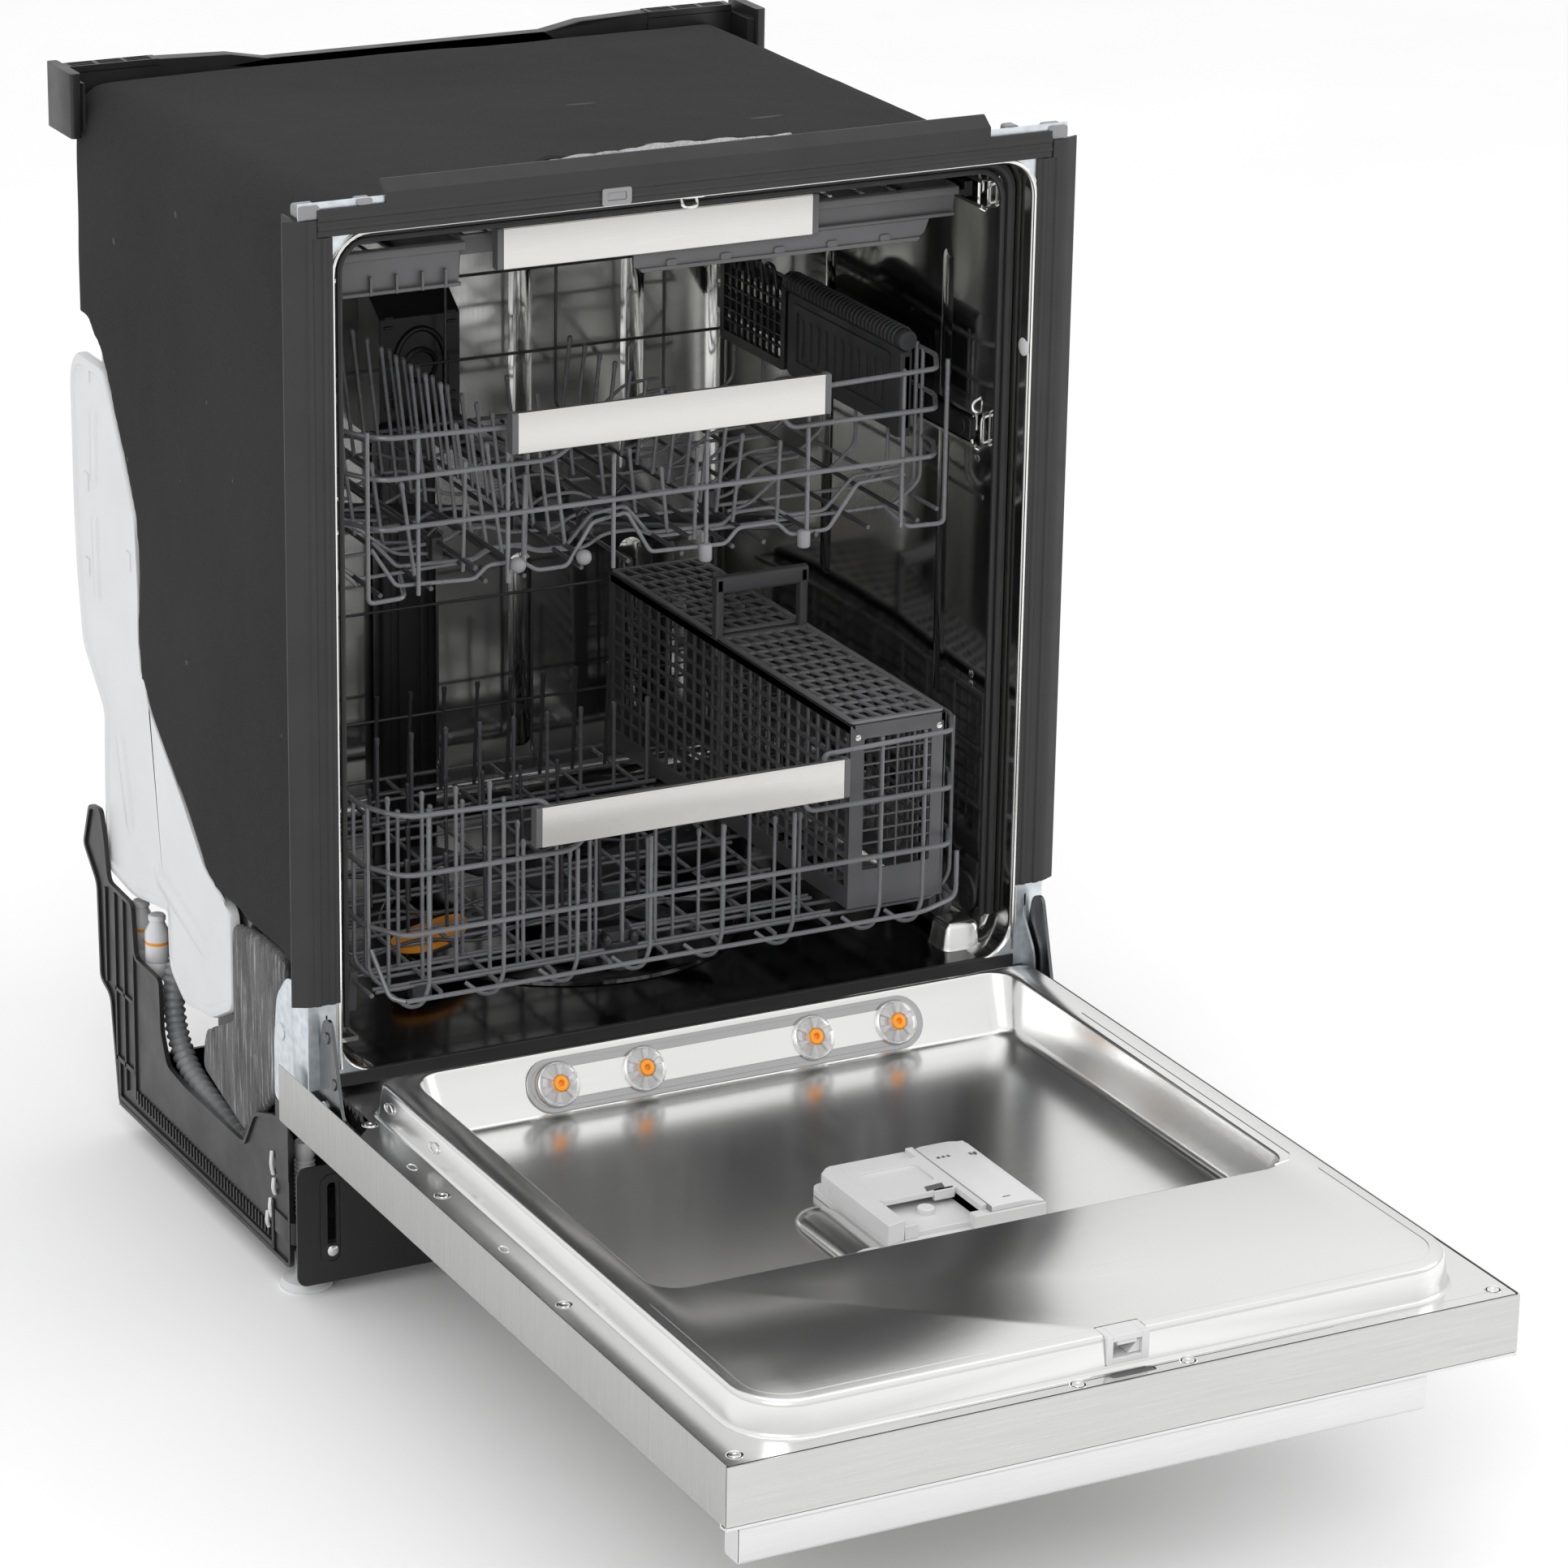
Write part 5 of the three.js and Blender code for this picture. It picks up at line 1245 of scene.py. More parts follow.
def steam():
    plate = Shape()
    for by, low, high in ((0, 0.2, 1.6), (-3.4, 1.6, 2.2)):
        plate.prism(rounded(-160 - by, 168.5 + by, -21 - by, 19 + by, 19.9 + by, 12), low, high)
    lean(plate).made("steam_plate_base", "door", STEAM_GREY, "steam_plate", "satin_liner_steel",
                     bevel=0.5, segments=3)
    strip = Shape()
    strip.prism(rounded(-128, 136.5, -12.5, 10.5, 2, 3), 2.2, 3.6)
    lean(strip).made("steam_strip", "door", LINER, slot="satin_liner_steel", bevel=0.6, segments=3)
    for i, x in enumerate((-136, -66, 74.5, 144.5)):
        dome = Shape()
        dome.turned([(17.2, 3.3), (17.2, 4.6), (16.4, 6.2), (14, 8.4), (10.5, 9.7), (6.6, 10.2),
                     (6.6, 8.8), (9.8, 8.4),
                     (13, 7.2), (14.8, 5.6), (15.2, 3.3)], (x, -1, 0), steps=48)
        for c, s in around(6, 0.3):
            fin = [(6.2, -0.7), (14.6, -2.6), (14.6, 2.6), (6.2, 0.7)]
            dome.prism([(x + p * c - q * s, -1 + p * s + q * c) for p, q in fin], 3.4, 6.4, slot=1)
        dome.turned([(0, 3.2), (14.8, 3.2), (14.8, 3.8), (0, 3.8)], (x, -1, 0), steps=32, slot=2)
        lean(dome).made(f"steam_dome_{i + 1}", "door", [GLASSY, WHITE, STEAM_GREY],
                        f"steam_nozzle_{i + 1}", "clear_plastic", bevel=0.2)
        heart = Shape()
        heart.turned([(6.6, 3.9), (6.4, 8.6), (5.2, 10.1), (3.2, 10.4), (2.4, 10), (1.8, 7.4), (0, 7.2)],
                     (x, -1, 0),
                     steps=32)
        lean(heart).made(f"steam_jet_{i + 1}", "door", ORANGE, slot="clear_plastic")


def dispenser():
    x0, x1, y0, y1, z0, _ = extent("dispenser_body")
    body = Shape()
    body.prism(rounded(x0, x1, y0, y1, 8, 4), z0, 185)
    body.block(-20, 38, -384, -294, 184, 189)
    body.prism([(x0, y0 + 4), (-22.8, y0 + 8), (-22.8, -286), (-30, -282), (x0, -290)], 185, 200.5)
    body.prism(rect(-22.8, -12, y0 + 8, -383), 185, 195.5)
    body.block(-22.8, 42, -294, y1 + 2, 185, 195.5)
    body.block(-22.8, -19, -384, -293, 185, 195.5)
    body.block(38, 44, -384, -274, 185, 199.5)
    body.prism([(30, y0 + 2), (x1 - 1, y0 + 2), (x1 - 1, y1 + 2), (38, y1 + 2), (38, -383), (30, -383)],
               185, 195.5)
    body.turned([(6.4, 188), (6.4, 192.6), (5.6, 193.6), (0, 193.8)], (9, -358, 0), steps=28)
    body.made("dispenser_housing", "door", PALE, "dispenser_body", "pale_plastic", bevel=0.8, segments=3)

    lid = Shape()
    edge = rounded(-22.6, 40.6, -350, -292, 4, 4)
    window = rounded(-13, 31, -332, -301, 3, 3)
    lid.prism(edge, 195.8, 200, "Z", [window])
    lid.prism(rounded(-14, 32, -333, -300, 3, 3), 196, 198.2)
    lid.prism(rect(20, 36, -351, -347), 192.8, 200)
    lid.turned([(3.4, -2.6), (3.4, 2.6)], (37.6, -346, 196.4), "Y", 16)
    lid.made("detergent_cover", "detergent_slider", PALE, "dispenser_lid", "pale_plastic", bevel=0.7,
             segments=3)
    button = Shape()
    button.prism([(15, -348.6), (30, -347), (31.5, -340), (17, -341.2)], 199.9, 200.5)
    button.made("cover_button", "detergent_slider", GREY, slot="grey_plastic", bevel=0.2)

    rinse = Shape()
    rows = []
    for k in range(15):
        t = k / 14
        x = 44 + 42 * t
        height = 200.5 - 3.8 * max(0.0, (t - 0.55) / 0.45) ** 2 - 1.2 * max(0.0, (0.12 - t) / 0.12) ** 2
        rows.append([(x, -390, 195.8), (x, -390, height - 1), (x, -388.6, height), (x, -279, height),
                     (x, -277.4, height - 0.6), (x, -277, 195.8)])
    rinse.loft(rows, start=True, end=True)
    for x in (49, 53, 57):
        rinse.block(x, x + 2.4, -303, -300, 200.3, 200.7, slot=1)
    for x in (74, 77.6):
        rinse.block(x, x + 2, -305, -302, 198.9, 200.3, slot=1)
    rinse.block(58, 64, -381, -379.6, 200.3, 200.6, slot=1)
    rinse.made("rinse_cover", "rinse_lid", [PALE, GREY], "rinse_aid_lid", "pale_plastic", angle=40,
               bevel=0.4)
    groove = Shape()
    groove.block(43, 43.8, -390, -277, 195.4, 199.8)
    groove.block(52, 80, -391.2, -390.2, 190, 195)
    groove.made("rinse_gap", "door", PIVOT, slot="grey_plastic")


# ------------------------------------------------------------------ racks
RACK_X = 244
LOWER = (6, 450, 255, 306, 352, 398)  # front and back of the hoops, their floor, then their heights
UPPER = (44, 432, 553, 604, 641, 672)


def rack_handle(node, body, y, top):
    bar = Shape()
    bar.prism(rounded(y, y + 4.4, top - 31, top, 1.2, 3), -124.6, 124.6, "X")
    bar.made(node + "_face", body, RACK_STEEL, node, "rack_handle_steel", bevel=0.5, segments=3)
    back = Shape()
    for sign in (-1, 1):
        back.prism(rounded(y - 0.1, y + 9.4, top - 31, top, 1.8, 3), *beside(sign, 124.6, 129.5), "X")
    back.prism([(y + 4.2, top - 1.2), (y + 13.6, top - 3.4), (y + 13.6, top - 6), (y + 4.2, top - 6)],
               -126, 126, "X")
    back.block(-126, 126, y + 4.2, y + 6, top - 29.6, top - 3)
    for sign in (-1, 1):
        back.block(*beside(sign, 111.6, 118.4), y + 5.4, y + 15, top - 24, top - 4)
    back.made(node + "_back", body, GREY, slot="grey_plastic", bevel=0.5)


def hoops(shape, dims, thick):
    """The hoops round a rack, with swept front corners. The upper two dip in under the handle's ends."""
    y0, y1, _, *rest = dims
    for k, z in enumerate(rest):
        top = k == len(rest) - 1
        left = [(-RACK_X, y1, z), (-RACK_X, y0 + 34, z), (-RACK_X + 18, y0, z)]
        right = [(RACK_X - 18, y0, z), (RACK_X, y0 + 34, z), (RACK_X, y1, z)]
        if top:
            shape.wire([*left, (-116, y0, z - 3), (-113, y0 - 11, z - 8)], thick, 16)
            shape.wire([(113, y0 - 11, z - 8), (116, y0, z - 3), *right], thick, 6)
        elif k == len(rest) - 2:
            shape.wire([*left, (-86, y0, z), (-70, y0 - 2, rest[-1] - 14), (-66, y0 - 6, rest[-1] - 10)],
                       thick, 14)
            shape.wire([(86, y0 - 6, rest[-1] - 10), (90, y0 - 2, rest[-1] - 14), (104, y0, z), *right],
                       thick, 6)
        else:
            shape.wire([*left, *right], thick, 8)


def rear_wires(dims, pitch, name, body):
    """Thin wires across the back of a rack, with five uprights."""
    _, y1, low, *rest = dims
    back = Shape()
    for z in (rest[0], rest[-1]):
        back.wire([(-RACK_X + 1, y1 - 1, z), (RACK_X - 1, y1 - 1, z)], 1.3)
    for x in range(-pitch * 2, pitch * 2 + 1, pitch):
        back.wire([(x, y1, rest[-1] + 1), (x, y1, low + 8), (x, y1 - 8, low)], 1.3, 5)
    back.made(name, body, DARK_WIRE, slot="coated_wire")


AXLES = (70, 390)  # y of the lower rack's wheels
AXLE_Z = 236


def lower_rack():
    y0, y1, low, _, z2, high = LOWER
    frame_wires = Shape()
    hoops(frame_wires, LOWER, 2.05)
    frame_wires.wire([(-RACK_X + 18, y0 - 1, low), (RACK_X - 40, y0 - 1, low),
                      (RACK_X - 6, y0 + 8, low + 4),
                      (RACK_X - 4, y0 + 12, low + 40)], 1.9, 8)
    frame_wires.wire([(-RACK_X + 18, y0 - 1, low), (-RACK_X + 8, y0 + 6, low + 2),
                      (-RACK_X + 2, y0 + 26, low + 34)], 1.9, 6)
    frame_wires.wire([(-RACK_X, y0 + 20, low), (-RACK_X, y1, low), (RACK_X, y1, low),
                      (RACK_X, y0 + 20, low)], 1.8, 12)
    for y in (34, 60, 112, 164, 216, 268, 320, 372, 424):
        frame_wires.wire([(-RACK_X + 1, y, high + 1), (-RACK_X + 1, y, low + 14),
                          (-RACK_X + 16, y, low - 1.6),
                          (RACK_X - 16, y, low - 1.6), (RACK_X - 1, y, low + 14),
                          (RACK_X - 1, y, high + 1)], 1.6, 9)
    frame_wires.made("lower_basket_frame", "lower_basket", WIRE, "lower_rack", "coated_wire")
    rear_wires(LOWER, 84, "lower_basket_back", "lower_basket")

    thin = Shape()
    # front uprights: long ones that curl under the front, shorter ones on the bottom wires
    for x in (-206, -146, -86, -26, 34, 94, 168, 205):
        thin.wire([(x, y0 + 2.4, z2 if -90 < x < 100 else high + 3), (x, y0 + 2.4, low + 8),
                   (x - 5, y0 + 3, low - 6),
                   (x - 14, y0 + 8, low - 9), (x - 24, y0 + 18, low - 1)], 1.7, 5)
    for i in range(9):
        x = -228 + i * 27.2
        thin.pin((x, y0 + 26, low - 1), (x, y0 + 26, high + 8 if x < -130 else z2 + 4))
    for i in range(12):
        x = -122 + i * 21.4
        thin.pin((x, y0 + 30, low - 1), (x, y0 + 30, z2 - 12 if i % 3 else z2 + 18), 1.4, 1.9)
    for x in (-232, -206, -180, -154):
        thin.pin((x, y0 + 58, low), (x, y0 + 58, high - 16))
    for y in (26, 32, 62, 68, 130, 196, 262, 334, 346, 398, 412):
        thin.wire([(-RACK_X + 3, y, low + 2.4), (138, y, low + 2.4)], 1.5)
    for x in (-196, -150, -104, -58, -12, 34, 80, 126):
        thin.wire([(x, y0 + 4, low + 1), (x + 10, y1 - 8, low + 1)], 1.8)
    thin.made("lower_basket_uprights", "lower_basket", WIRE, slot="coated_wire")

    rows = Shape()
    for i in range(13):
        x = -222 + 29.2 * i
        rows.pin((x, 405, low), (x + 2, 402, 345))
    for y, count, tip in ((120, 9, 318), (190, 8, 316), (262, 8, 322)):
        for i in range(count):
            x = -205 + 32 * i
            rows.pin((x, y, low + 1), (x, y + 3, tip), 1.5, 2.0)
    for y in (86, 150, 230):
        rows.wire([(-230, y, low + 3), (-180, y + 3, low + 12), (-130, y, low + 3), (-80, y + 3, low + 12),
                   (-30, y, low + 3), (20, y + 3, low + 12), (70, y, low + 3), (120, y + 2, low + 10)],
                  1.5, 12)
    rows.made("lower_basket_rows", "lower_basket", DARK_WIRE, slot="coated_wire")

    block = Shape()
    block.prism(rounded(-54, -24, 30, 46, 3, 3), 244, 262)
    block.prism(rounded(-50, -30, 32, 44, 3, 3), 262, 270)
    block.turned([(8, 238), (9.5, 240), (9.5, 246), (0, 247)], (-38, 38, 0), steps=20)
    for x, y in ((-50, 31), (-28, 31), (-52, 45), (-27, 45)):
        block.turned([(2.8, 260), (3.4, 262), (3.2, 266), (1.2, 268.4), (0, 268.6)], (x, y, 0), steps=14)
    block.prism(rounded(-212, -196, 24, 36, 2, 2), 246, 258)
    block.prism(rounded(-22, -2, 96, 108, 3, 3), 252, 276)
    block.made("tine_clips", "lower_basket", DARK, slot="grey_plastic", bevel=0.7)

    stubs = Shape()
    for sign in (-1, 1):
        for y in AXLES:
            stubs.prism([(y - 8, 230), (y + 8, 230), (y + 12, 262), (y - 12, 262)],
                        *beside(sign, 241, 247.4), "X")
            stubs.turned([(4.6, x) for x in beside(sign, 246, 250)], (0, y, AXLE_Z), "X", 20)
    stubs.made("wheel_brackets", "lower_basket", GREY, slot="grey_plastic", bevel=0.6)
    rack_handle("lower_rack_handle", "lower_basket", -12.7, 395.8)

    for name, sign, letter in (("left", -1, "l"), ("right", 1, "r")):
        for i, y in enumerate(AXLES):
            wheel = Shape()
            a, b = sign * 249.8, sign * 259.4
            rim = [(4, a), (11, a), (12, a + sign * 1.6), (14.4, a + sign * 1.6), (15.5, a + sign * 2.6),
                   (15.5, b - sign * 2.6), (14.4, b - sign * 1.2), (12.4, b - sign * 1.2),
                   (11.6, b - sign * 2.6),
                   (5.6, b - sign * 2.6), (5, b - sign * 0.2), (0, b)]
            wheel.turned(rim, (0, y, AXLE_Z), "X", 36)
            for c, s in around(6):
                wheel.tube([(b - sign * 2.4, y + r * c, AXLE_Z + r * s) for r in (5, 12.4)], 1.0, 6)
            wheel.made(f"wheel_{name}_{i + 1}", f"wheel_{letter}{i + 1}", GREY,
                       f"rack_wheel_{name}_{i + 1}",
                       "grey_plastic", angle=40)

    fold = Shape()
    y, z = 340, 261.5  # the row's own pivot wire
    fold.wire([(-200, y, z), (142, y, z)], 1.9)
    for i in range(12):
        x = -190 + 29.5 * i
        fold.pin((x, y, z), (x, y, 334))
    for x in (-170, -52, 66):
        fold.turned([(3.4, x - 5), (3.4, x + 5)], (0, y, z), "X", 14)
    fold.made("folding_tines", "tine_row", WIRE, "lower_tines", "coated_wire")


def grid_wall(shape, u0, u1, v0, v1, low, high, axis, columns, rows, border=7.0, bar=1.5, foot=None):
    """Moulded wall with a grid of square openings: a frame, bars both ways and a solid foot band."""
    foot = foot or border
    holes = [rounded(u0 + border, u1 - border, v0 + foot, v1 - border, 1.2, 2)]
    shape.prism(rect(u0, u1, v0, v1), low, high, axis, holes)
    middle = (low + high) / 2
    for i in range(1, columns):
        u = u0 + border + (u1 - u0 - 2 * border) * i / columns
        shape.prism([(u - bar / 2, v0 + foot - 0.5), (u + bar / 2, v0 + foot - 0.5),
                     (u + bar / 2, v1 - border + 0.5),
                     (u - bar / 2, v1 - border + 0.5)], low + 0.2, high - 0.2, axis)
    for j in range(1, rows):
        v = v0 + foot + (v1 - v0 - foot - border) * j / rows
        shape.prism([(u0 + border - 0.5, v - bar / 2), (u1 - border + 0.5, v - bar / 2),
                     (u1 - border + 0.5, v + bar / 2),
                     (u0 + border - 0.5, v + bar / 2)], middle - 0.8, high - 0.3, axis)


def mesh_lid(x0, x1, y0, y1, z, columns, rows):
    """Basket lid with rows of slanted openings, every other row shifted by half an opening."""
    lid = Shape()
    border = 4.5
    lid.prism(rounded(x0, x1, y0, y1, 3, 3), z, z + 2.4, "Z",
              [rounded(x0 + border, x1 - border, y0 + border, y1 - border, 1, 2)])
    wide, deep = (x1 - x0 - 2 * border) / columns, (y1 - y0 - 2 * border) / rows
    for j in range(1, rows):
        y = y0 + border + deep * j
        lid.block(x0 + border - 0.5, x1 - border + 0.5, y - 1.5, y + 1.5, z + 0.2, z + 2.3)
    for j in range(rows):
        shift = wide / 2 if j % 2 else 0.0
        for i in range(columns + 1):
            x = x0 + border + wide * i + shift
            far = x - wide * 0.42
            if far < x0 + border or x > x1 - border:
                continue
            a, b = y0 + border + deep * j, y0 + border + deep * (j + 1)
            lid.prism([(x - 1.4, a), (x + 1.4, a), (far + 1.4, b), (far - 1.4, b)], z + 0.2, z + 2.3)
    return lid


def cutlery_basket():
    x0, x1, y0, y1, z0, z1 = 149, 231, 24, 440, 259, 407
    walls = Shape()
    for low in (x0, x1 - 2.4):
        grid_wall(walls, y0, y1, z0, z1, low, low + 2.4, "X", 25, 10, foot=16, bar=3.2)
    for low in (y0, y1 - 2.4):
        grid_wall(walls, x0, x1, z0, z1, low, low + 2.4, "Y", 4, 10, border=12, foot=30)
    for low in (248, 257.6):
        grid_wall(walls, x0 + 2, x1 - 2, z0, z1, low, low + 2.2, "Y", 5, 11)
    for x in (x0, x1 - 5):
        walls.prism(rounded(x, x + 5, y0, y1, 1.2, 2), z1 - 7, z1)
    walls.prism(rounded(x0 + 1, x1 - 1, y0 + 1, y1 - 1, 2, 2), z0, z0 + 3, "Z",
                [rounded(x0 + 8 + 36 * i, x0 + 36 + 36 * i, a, a + 22, 2, 2) for i in range(2)
                 for a in range(int(y0) + 8, int(y1) - 30, 28)])
    for x in (x0 + 0.4, x1 - 7.4):
        walls.prism(rounded(x, x + 7, 249.4, 258, 1.6, 3), z1 - 14, 455)
    walls.prism(rounded(249.4, 258, 443, 458, 3, 3), x0 + 0.2, x1 - 0.2, "X")
    walls.made("basket_walls", "lower_basket", BASKET, "cutlery_basket", "basket_plastic", bevel=0.35)
    stud = Shape()
    for x in (x1 - 6, x0 + 6):
        stud.turned([(2.6, y0 + 0.4), (2.4, y0 - 0.9), (1.2, y0 - 1.4), (0, y0 - 1.5)], (x, 0, z1 - 10),
                    "Y", 16)
    stud.made("basket_studs", "lower_basket", BRIGHT, slot="basket_plastic")
    # lids in the lightened basket plastic: painted reflection
    mesh_lid(x0 + 1, x1 - 1, 25, 248, z1 + 0.4, 6, 11).made(
        "basket_front_mesh", "lid_front", LIT_BASKET_LID, "basket_lid_front", "basket_plastic", bevel=0.3)
    mesh_lid(x0 + 1, x1 - 1, 260, 439, z1 + 0.4, 6, 9).made(
        "basket_rear_mesh", "lid_rear", LIT_BASKET_LID, "basket_lid_rear", "basket_plastic", bevel=0.3)


def upper_rack():
    y0, y1, low, _, z2, high = UPPER
    wires = Shape()
    hoops(wires, UPPER, 2.0)
    for x, foot in ((-236, 6), (236, 26)):
        sign = math.copysign(1, x)
        wires.wire([(x, y0 + 1, high + 6), (x, y0 + 1, low - 3), (x - sign * 30, y0 + 4, low - 3),
                    (x - sign * 36, y0 + 26, low + 6)], 1.8, 5)
        wires.wire([(x + sign * 6, y0 + foot + 34, high + 4), (x + sign * 6, y0 + foot + 34, low + 12),
                    (x - sign * 8, y0 + foot + 34, low - 1)], 1.7, 7)
    for x in (-196, -125, -40, 36, 120, 200):
        wires.pin((x, y0 + 2.4, low - 2), (x, y0 + 2.4, high + 2 if abs(x) > 119 else z2 - 2), 1.7, 1.9)
    for y in (96, 148, 200, 252, 304, 356, 408):
        wires.wire([(-RACK_X + 1, y, high + 1), (-RACK_X + 1, y, low + 16), (-RACK_X + 22, y, low - 1),
                    (-130, y, low + 1), (-116, y + 3, low + 7), (-92, y + 3, low + 7), (-78, y, low + 1),
                    (-40, y, low - 1),
                    (-22, y + 3, low + 7), (4, y + 3, low + 7), (20, y, low), (RACK_X - 22, y, low - 1),
                    (RACK_X - 1, y, low + 16), (RACK_X - 1, y, high + 1)], 1.5, 7)
    wires.wire([(-RACK_X, y0 + 26, low), (-RACK_X, y1, low), (RACK_X, y1, low), (RACK_X, y0 + 26, low)],
               1.7, 12)
    wires.made("upper_basket_frame", "upper_basket", WIRE, "upper_rack", "coated_wire")
    rear_wires(UPPER, 96, "upper_basket_back", "upper_basket")

    zig = Shape()
    wave = ((-230, 34), (-212, 5), (-150, 2), (-138, 10), (-112, 10), (-100, 2), (-76, 2), (-54, 32),
            (-26, 36),
            (-8, 4), (54, 2), (66, 12), (98, 12), (108, 2), (140, 2), (166, 34), (206, 36))
    for y, shift, scale in ((50, 0, 1.0), (96, 21, 0.7)):
        zig.wire([(x + shift, y + (3 if rise > 8 else 0), low + 1 + rise * scale) for x, rise in wave],
                 1.6, 4)
    for y in range(122, 420, 30):
        zig.wire([(-240, y, low + 34), (-214, y + 3, low + 31), (-180, y + 3, low + 4),
                  (-152, y, low + 2)], 1.4, 8)
        zig.wire([(92, y, low + 3), (112, y + 3, low + 5), (140, y + 3, low + 26), (168, y, low + 28)],
                 1.4, 8)
    zig.made("upper_basket_waves", "upper_basket", WIRE, slot="coated_wire")

    long_wires = Shape()
    for x in (-226, -186, -143, -112, -66, -28, 16, 58, 84, 128, 172, 214):
        long_wires.wire([(x, y0 + 2, low + 1.6), (x + 4, y1 - 3, low + 1.6)], 1.8)
    for x, z in ((-150, low + 12), (-118, low + 10), (-65, low + 10), (24, low + 12)):
        long_wires.wire([(x, y0 + 4, z), (x + 3, y0 + 340, z)], 2.0)
    long_wires.made("upper_basket_runs", "upper_basket", DARK_WIRE, slot="coated_wire")

    tines = Shape()
    for i in range(12):
        y = 76 + 27 * i
        tines.pin((-116, y, 562), (-129, y - 1, 674 if i > 2 else 650))
        tines.pin((-65, y, 562), (-75, y - 1, 638))
        tines.pin((75, y + 4, 562), (82, y + 3, 630))
        if i % 2 == 0:
            tines.pin((-186, y, 556), (-196, y, 628))
            tines.pin((22, y + 6, 560), (16, y + 6, 612))
    for x, y, tall in ((-150, 70, 640), (-104, 66, 626), (-92, 88, 634), (38, 70, 628), (110, 76, 622)):
        tines.pin((x, y, 556), (x + 2, y, tall))
    tines.made("upper_basket_tines", "upper_basket", WIRE, slot="coated_wire")

    pivots = Shape()
    for x, y, z, r in ((-118, 44, 564, 6.2), (-65, 44, 563, 6.0)):
        pivots.turned([(0, -r), (r * 0.7, -r * 0.72), (r, -r * 0.1), (r * 0.86, r * 0.5),
                       (r * 0.4, r * 0.95), (0, r)],
                      (x, y, z), "Y", 20)
    for x, z in ((36, 556), (118, 556)):
        pivots.turned([(4, 0), (5, 1.4), (5, 12), (4, 13.4), (0, 13.6)], (x, y0 + 3, z - 10), "Z", 18)
    pivots.made("tine_pivots", "upper_basket", PIVOT, slot="white_plastic", angle=60)
    clips = Shape()
    for x, y in ((-150, 120), (-66, 160), (-28, 120), (24, 160), (84, 140)):
        clips.prism(rounded(x - 5, x + 5, y - 6, y + 6, 2, 2), low - 2, low + 16)
        clips.tube([(x - 6, y, low + 16), (x, y, low + 22), (x + 6, y, low + 16)], 2.2, 8)
    clips.made("tine_holders", "upper_basket", DARK, slot="grey_plastic", bevel=0.7)

    feed = Shape()
    feed.prism(rounded(-11, 11, 541, 552.6, 4, 4), 240, 437, "Y")
    feed.turned([(15, 538.4), (15, 548), (11, 553), (0, 553.4)], (0, 240, 0), steps=28)
    feed.turned([(16, 424), (16, 433), (13, 437), (9, 437)], (0, 0, 549), "Y", 24)
    feed.made("upper_feed_pipe", "upper_basket", BLACK, slot="black_plastic", bevel=0.6)
    rack_handle("upper_rack_handle", "upper_basket", 29, 683.2)

    for name, sign in (("left", -1), ("right", 1)):
        box = Shape()
        x0, x1 = 246.4, 257
        box.prism(rounded(150, 330, 596, 668, 8, 4), x0, x1 - 1.4, "X")
        box.prism(rounded(158, 322, 606, 660, 6, 4), x1 - 1.6, x1, "X")
        box.prism(rounded(200, 280, 664, 672, 2, 3), x0, x1 - 3, "X")
        box.prism(rounded(46, 466, 611.4, 628.6, 3, 3), 257, 262.6, "X")
        for y in (60, 130, 380, 450):
            box.turned([(7, 256), (7, 262.8), (5.6, 262.8)], (0, y, 620), "X", 20)
        for y in range(166, 316, 10):
            box.block(x1 - 1.8, x1 + 0.5, y, y + 3, 612, 654)
        if sign < 0:
            box = box.mirrored()
        box.made(f"height_adjuster_{name}", "upper_carriage", BLACK, f"adjuster_{name}", "black_plastic",
                 bevel=0.6)


def cup_shelf():
    shelf = Shape()
    shelf.prism(rounded(100, 290, 604, 672, 6, 4), 229.6, 234.4, "X")
    shelf.prism(rounded(122, 280, 612, 664, 4, 3), 228.6, 229.8, "X", [rounded(128, 274, 618, 658, 3, 3)])
    for k in range(11):
        shelf.prism(rounded(134 + 13 * k, 138 + 13 * k, 622, 654, 1.6, 2), 228.8, 229.8, "X")
    shelf.prism(rounded(100, 116, 602.4, 672, 4, 3), 226, 236, "X")
    x, z = 230, 679.6  # middle of the rubber roll along the top edge
    shelf.turned([(5, 97), (8, 98.4), (8.5, 101), (8.5, 286), (7, 287.4), (0, 287.6)], (x, 0, z), "Y", 28)
    shelf.turned([(7.4, 95.4), (8.2, 97), (7.8, 98.6)], (x, 0, z), "Y", 28)
    shelf.turned([(0, 95.2), (5.4, 95.2), (5.6, 97.6)], (x, 0, z), "Y", 24)
    upper = [(x + 8.7 * c, z + 8.7 * s) for c, s in around(18, 1)[:10]]
    for y in range(105, 285, 6):
        shelf.tube([(u, y, v) for u, v in upper], 0.9, 6)
    shelf.made("cup_shelf_front", "shelf", DARK, "cup_shelf", "black_plastic", bevel=0.4, angle=40)
    rear = Shape()
    rear.prism(rounded(296, 408, 604, 676, 5, 3), 230, 234, "X", [rounded(303, 401, 612, 668, 3, 3)])
    for i in range(1, 9):
        y = 303 + 98 * i / 9
        rear.block(230.4, 233.8, y - 0.9, y + 0.9, 611, 669)
    for j in range(1, 6):
        z = 612 + 56 * j / 6
        rear.block(230.6, 233.6, 302, 402, z - 0.9, z + 0.9)
    for i in range(4):
        y = 308 + i * 24
        rear.wire([(228.6, y, 668), (226, y, 687), (226, y + 14, 687), (228.6, y + 14, 668)], 1.6, 5)
    rear.made("cup_shelf_rear", "shelf", BLACK, slot="black_plastic", bevel=0.3)


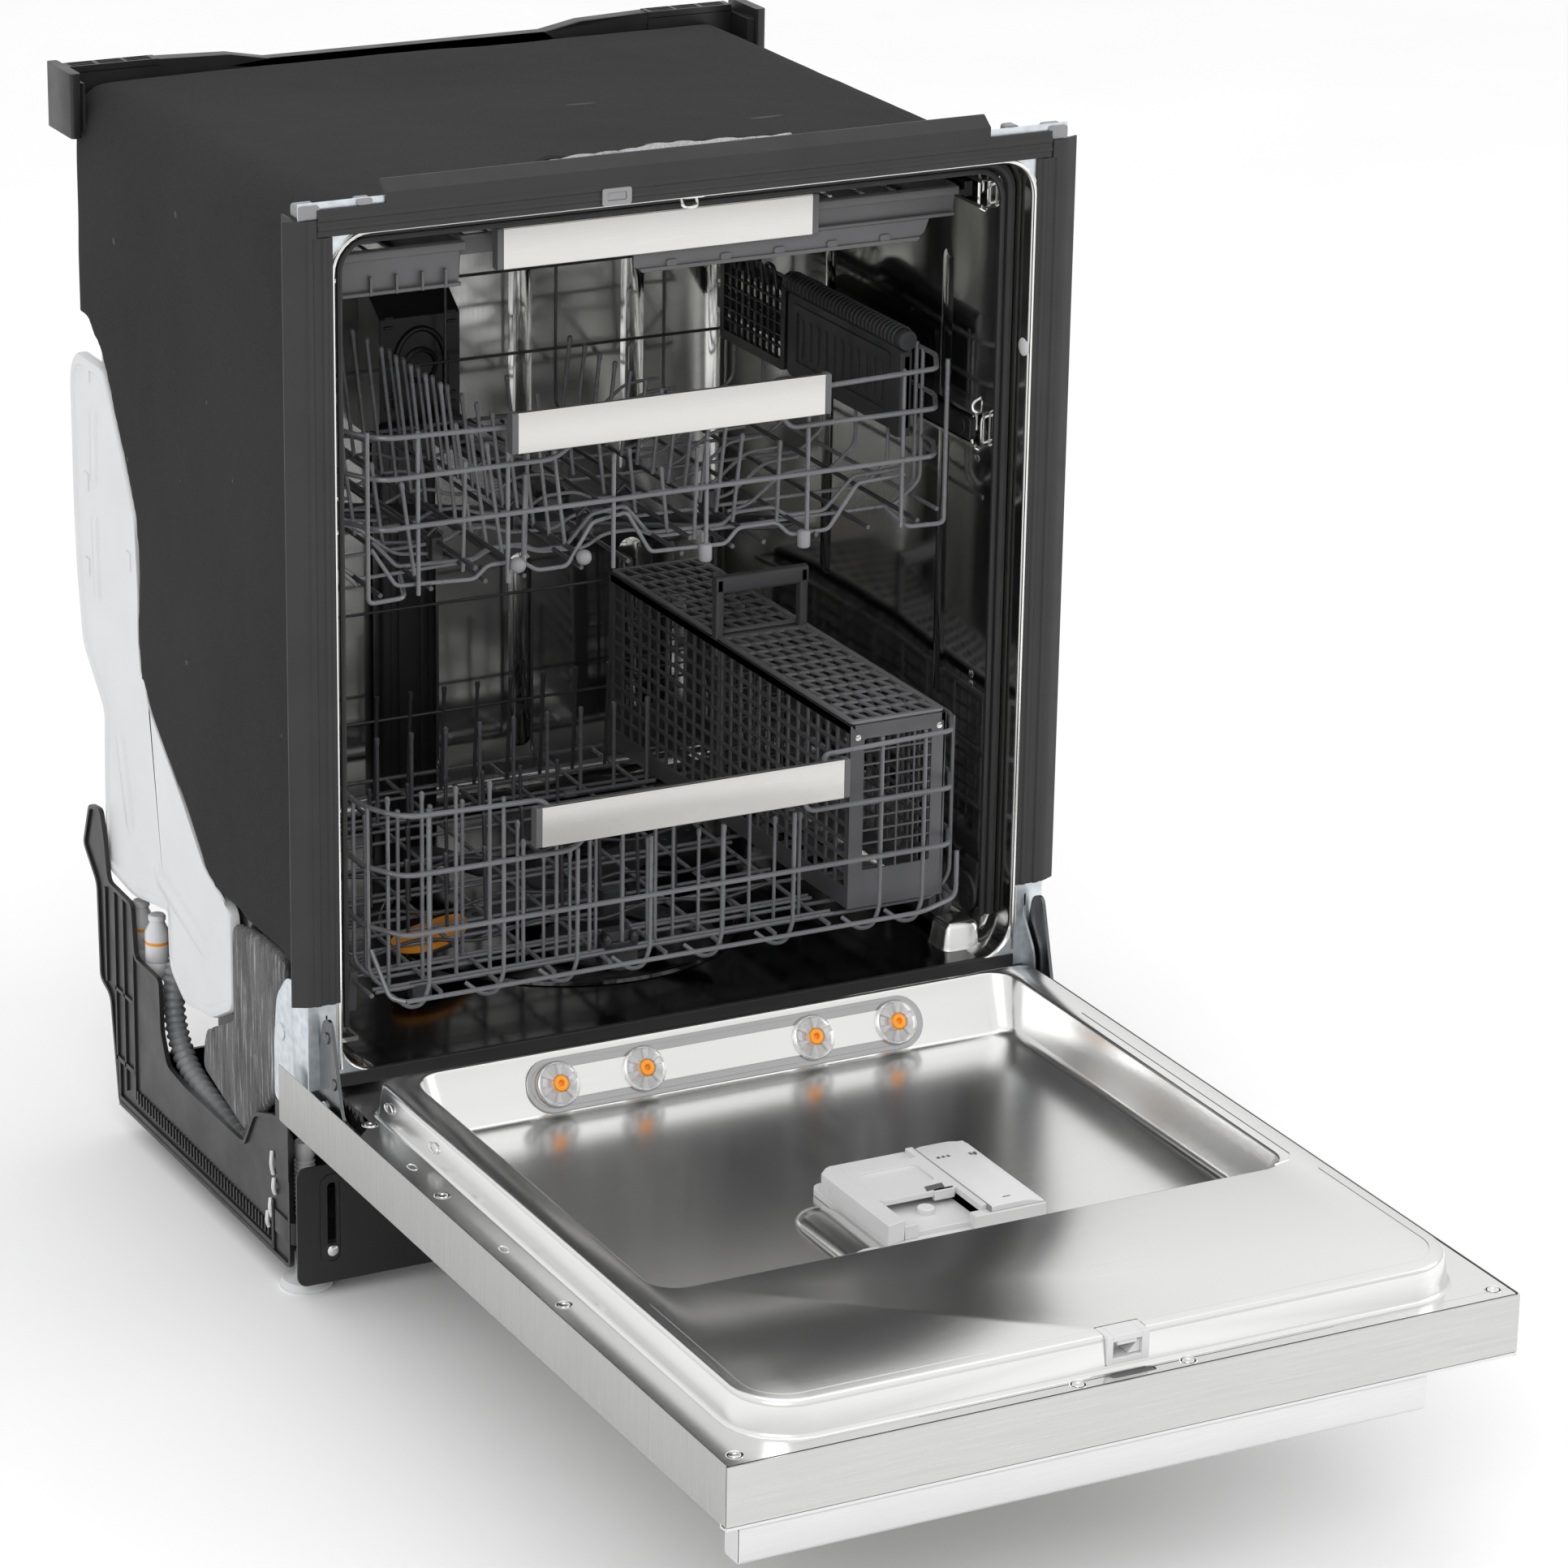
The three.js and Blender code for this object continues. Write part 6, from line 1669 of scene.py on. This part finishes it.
def tray(shape, x0, x1, y0, y1, z0, z1, columns, rows, lip=4.0):
    """Shallow tray: slatted floor, tapering walls and a folded rim."""
    grid_wall(shape, x0 + 3, x1 - 3, y0 + 3, y1 - 3, z0, z0 + 2.2, "Z", columns, rows, border=5, bar=2.2)
    outer = [grown(x0, x1, y0, y1, 5, by, z, 4) for by,
             z in ((-2.6, z0), (-0.6, z1 - 3), (0, z1 - 2.4), (0, z1))]
    inner = [grown(x0, x1, y0, y1, 5, by, z, 4) for by,
             z in ((-lip, z1), (-lip, z1 - 1.6), (-2.6, z1 - 3), (-4.4, z0 + 2))]
    shape.loft([*outer, *inner, outer[0]])


def third_rack():
    trays = Shape()
    tray(trays, -251, -152, 62, 464, 772, 806, 5, 18)
    tray(trays, -152, -18.4, 74, 464, 791, 806, 6, 18)
    tray(trays, -18.4, 251, 62, 464, 782, 806, 12, 18)
    for x0, x1, low in ((-250, -152, 772), (-18, 250, 782)):
        trays.prism(rounded(59.6, 64, 799, 805.6, 1.2, 2), x0, x1, "X")
        trays.prism(rounded(60.4, 63.4, low + 1, low + 4, 1, 2), x0 + 3, x1 - 3, "X")
    for x in (-226, -206, -186, -168):
        trays.block(x, x + 2, 59.8, 63, 773, 787)
    lip = [(-18, 783), (-18, 772), (-10, 768), (214, 768), (222, 773), (226, 783)]
    trays.prism(lip, 61, 63.4, "Y")
    trays.prism([(-14, 770.4), (-12, 767.4), (216, 767.4), (218, 770.4)], 59.2, 63.4, "Y")
    for x in range(8, 214, 44):
        trays.prism(rounded(x, x + 9, 770, 775, 1.6, 2), 59.6, 63, "Y")
    for i in range(9):
        x = 8 + 26 * i
        trays.block(x, x + 1.8, 68, 456, 784, 795)
    trays.made("third_rack_trays", "third_basket", GREY, "third_rack", "grey_plastic", bevel=0.4, angle=40)
    bars = Shape()
    for sign in (-1, 1):
        bars.block(*beside(sign, 250, 257), 62, 464, 797.6, 802)
        bars.prism(rect(*beside(sign, 256, 262.6), 796.2, 807.8), 62, 464, "Y")
        for y in (80, 150, 390, 450):
            bars.turned([(5.6, x) for x in beside(sign, 258, 262.8)], (0, y, 802), "X", 18)
    bars.made("third_rack_runners", "third_basket", BLACK, slot="black_plastic", bevel=0.4)
    stays = Shape()
    for x in (-118, 110):
        stays.block(x, x + 8, 59.5, 66 if x > 0 else 76, 796, 806)
    stays.made("third_rack_stays", "third_basket", GREY, slot="grey_plastic", bevel=0.4)
    rack_handle("third_rack_handle", "third_basket", 54, 813.6)


# ------------------------------------------------------------------ the whole machine
studio()
for section in (
        tub, seal, trims, blanket, guide_box, fibre, base, feet, rear_rail, hinges, plumbing, duct, rails,
        spray_arms, liner, latch, outer_panel, control_strip, door_handle, steam, dispenser, lower_rack,
        cutlery_basket, upper_rack, cup_shelf, third_rack):
    section()
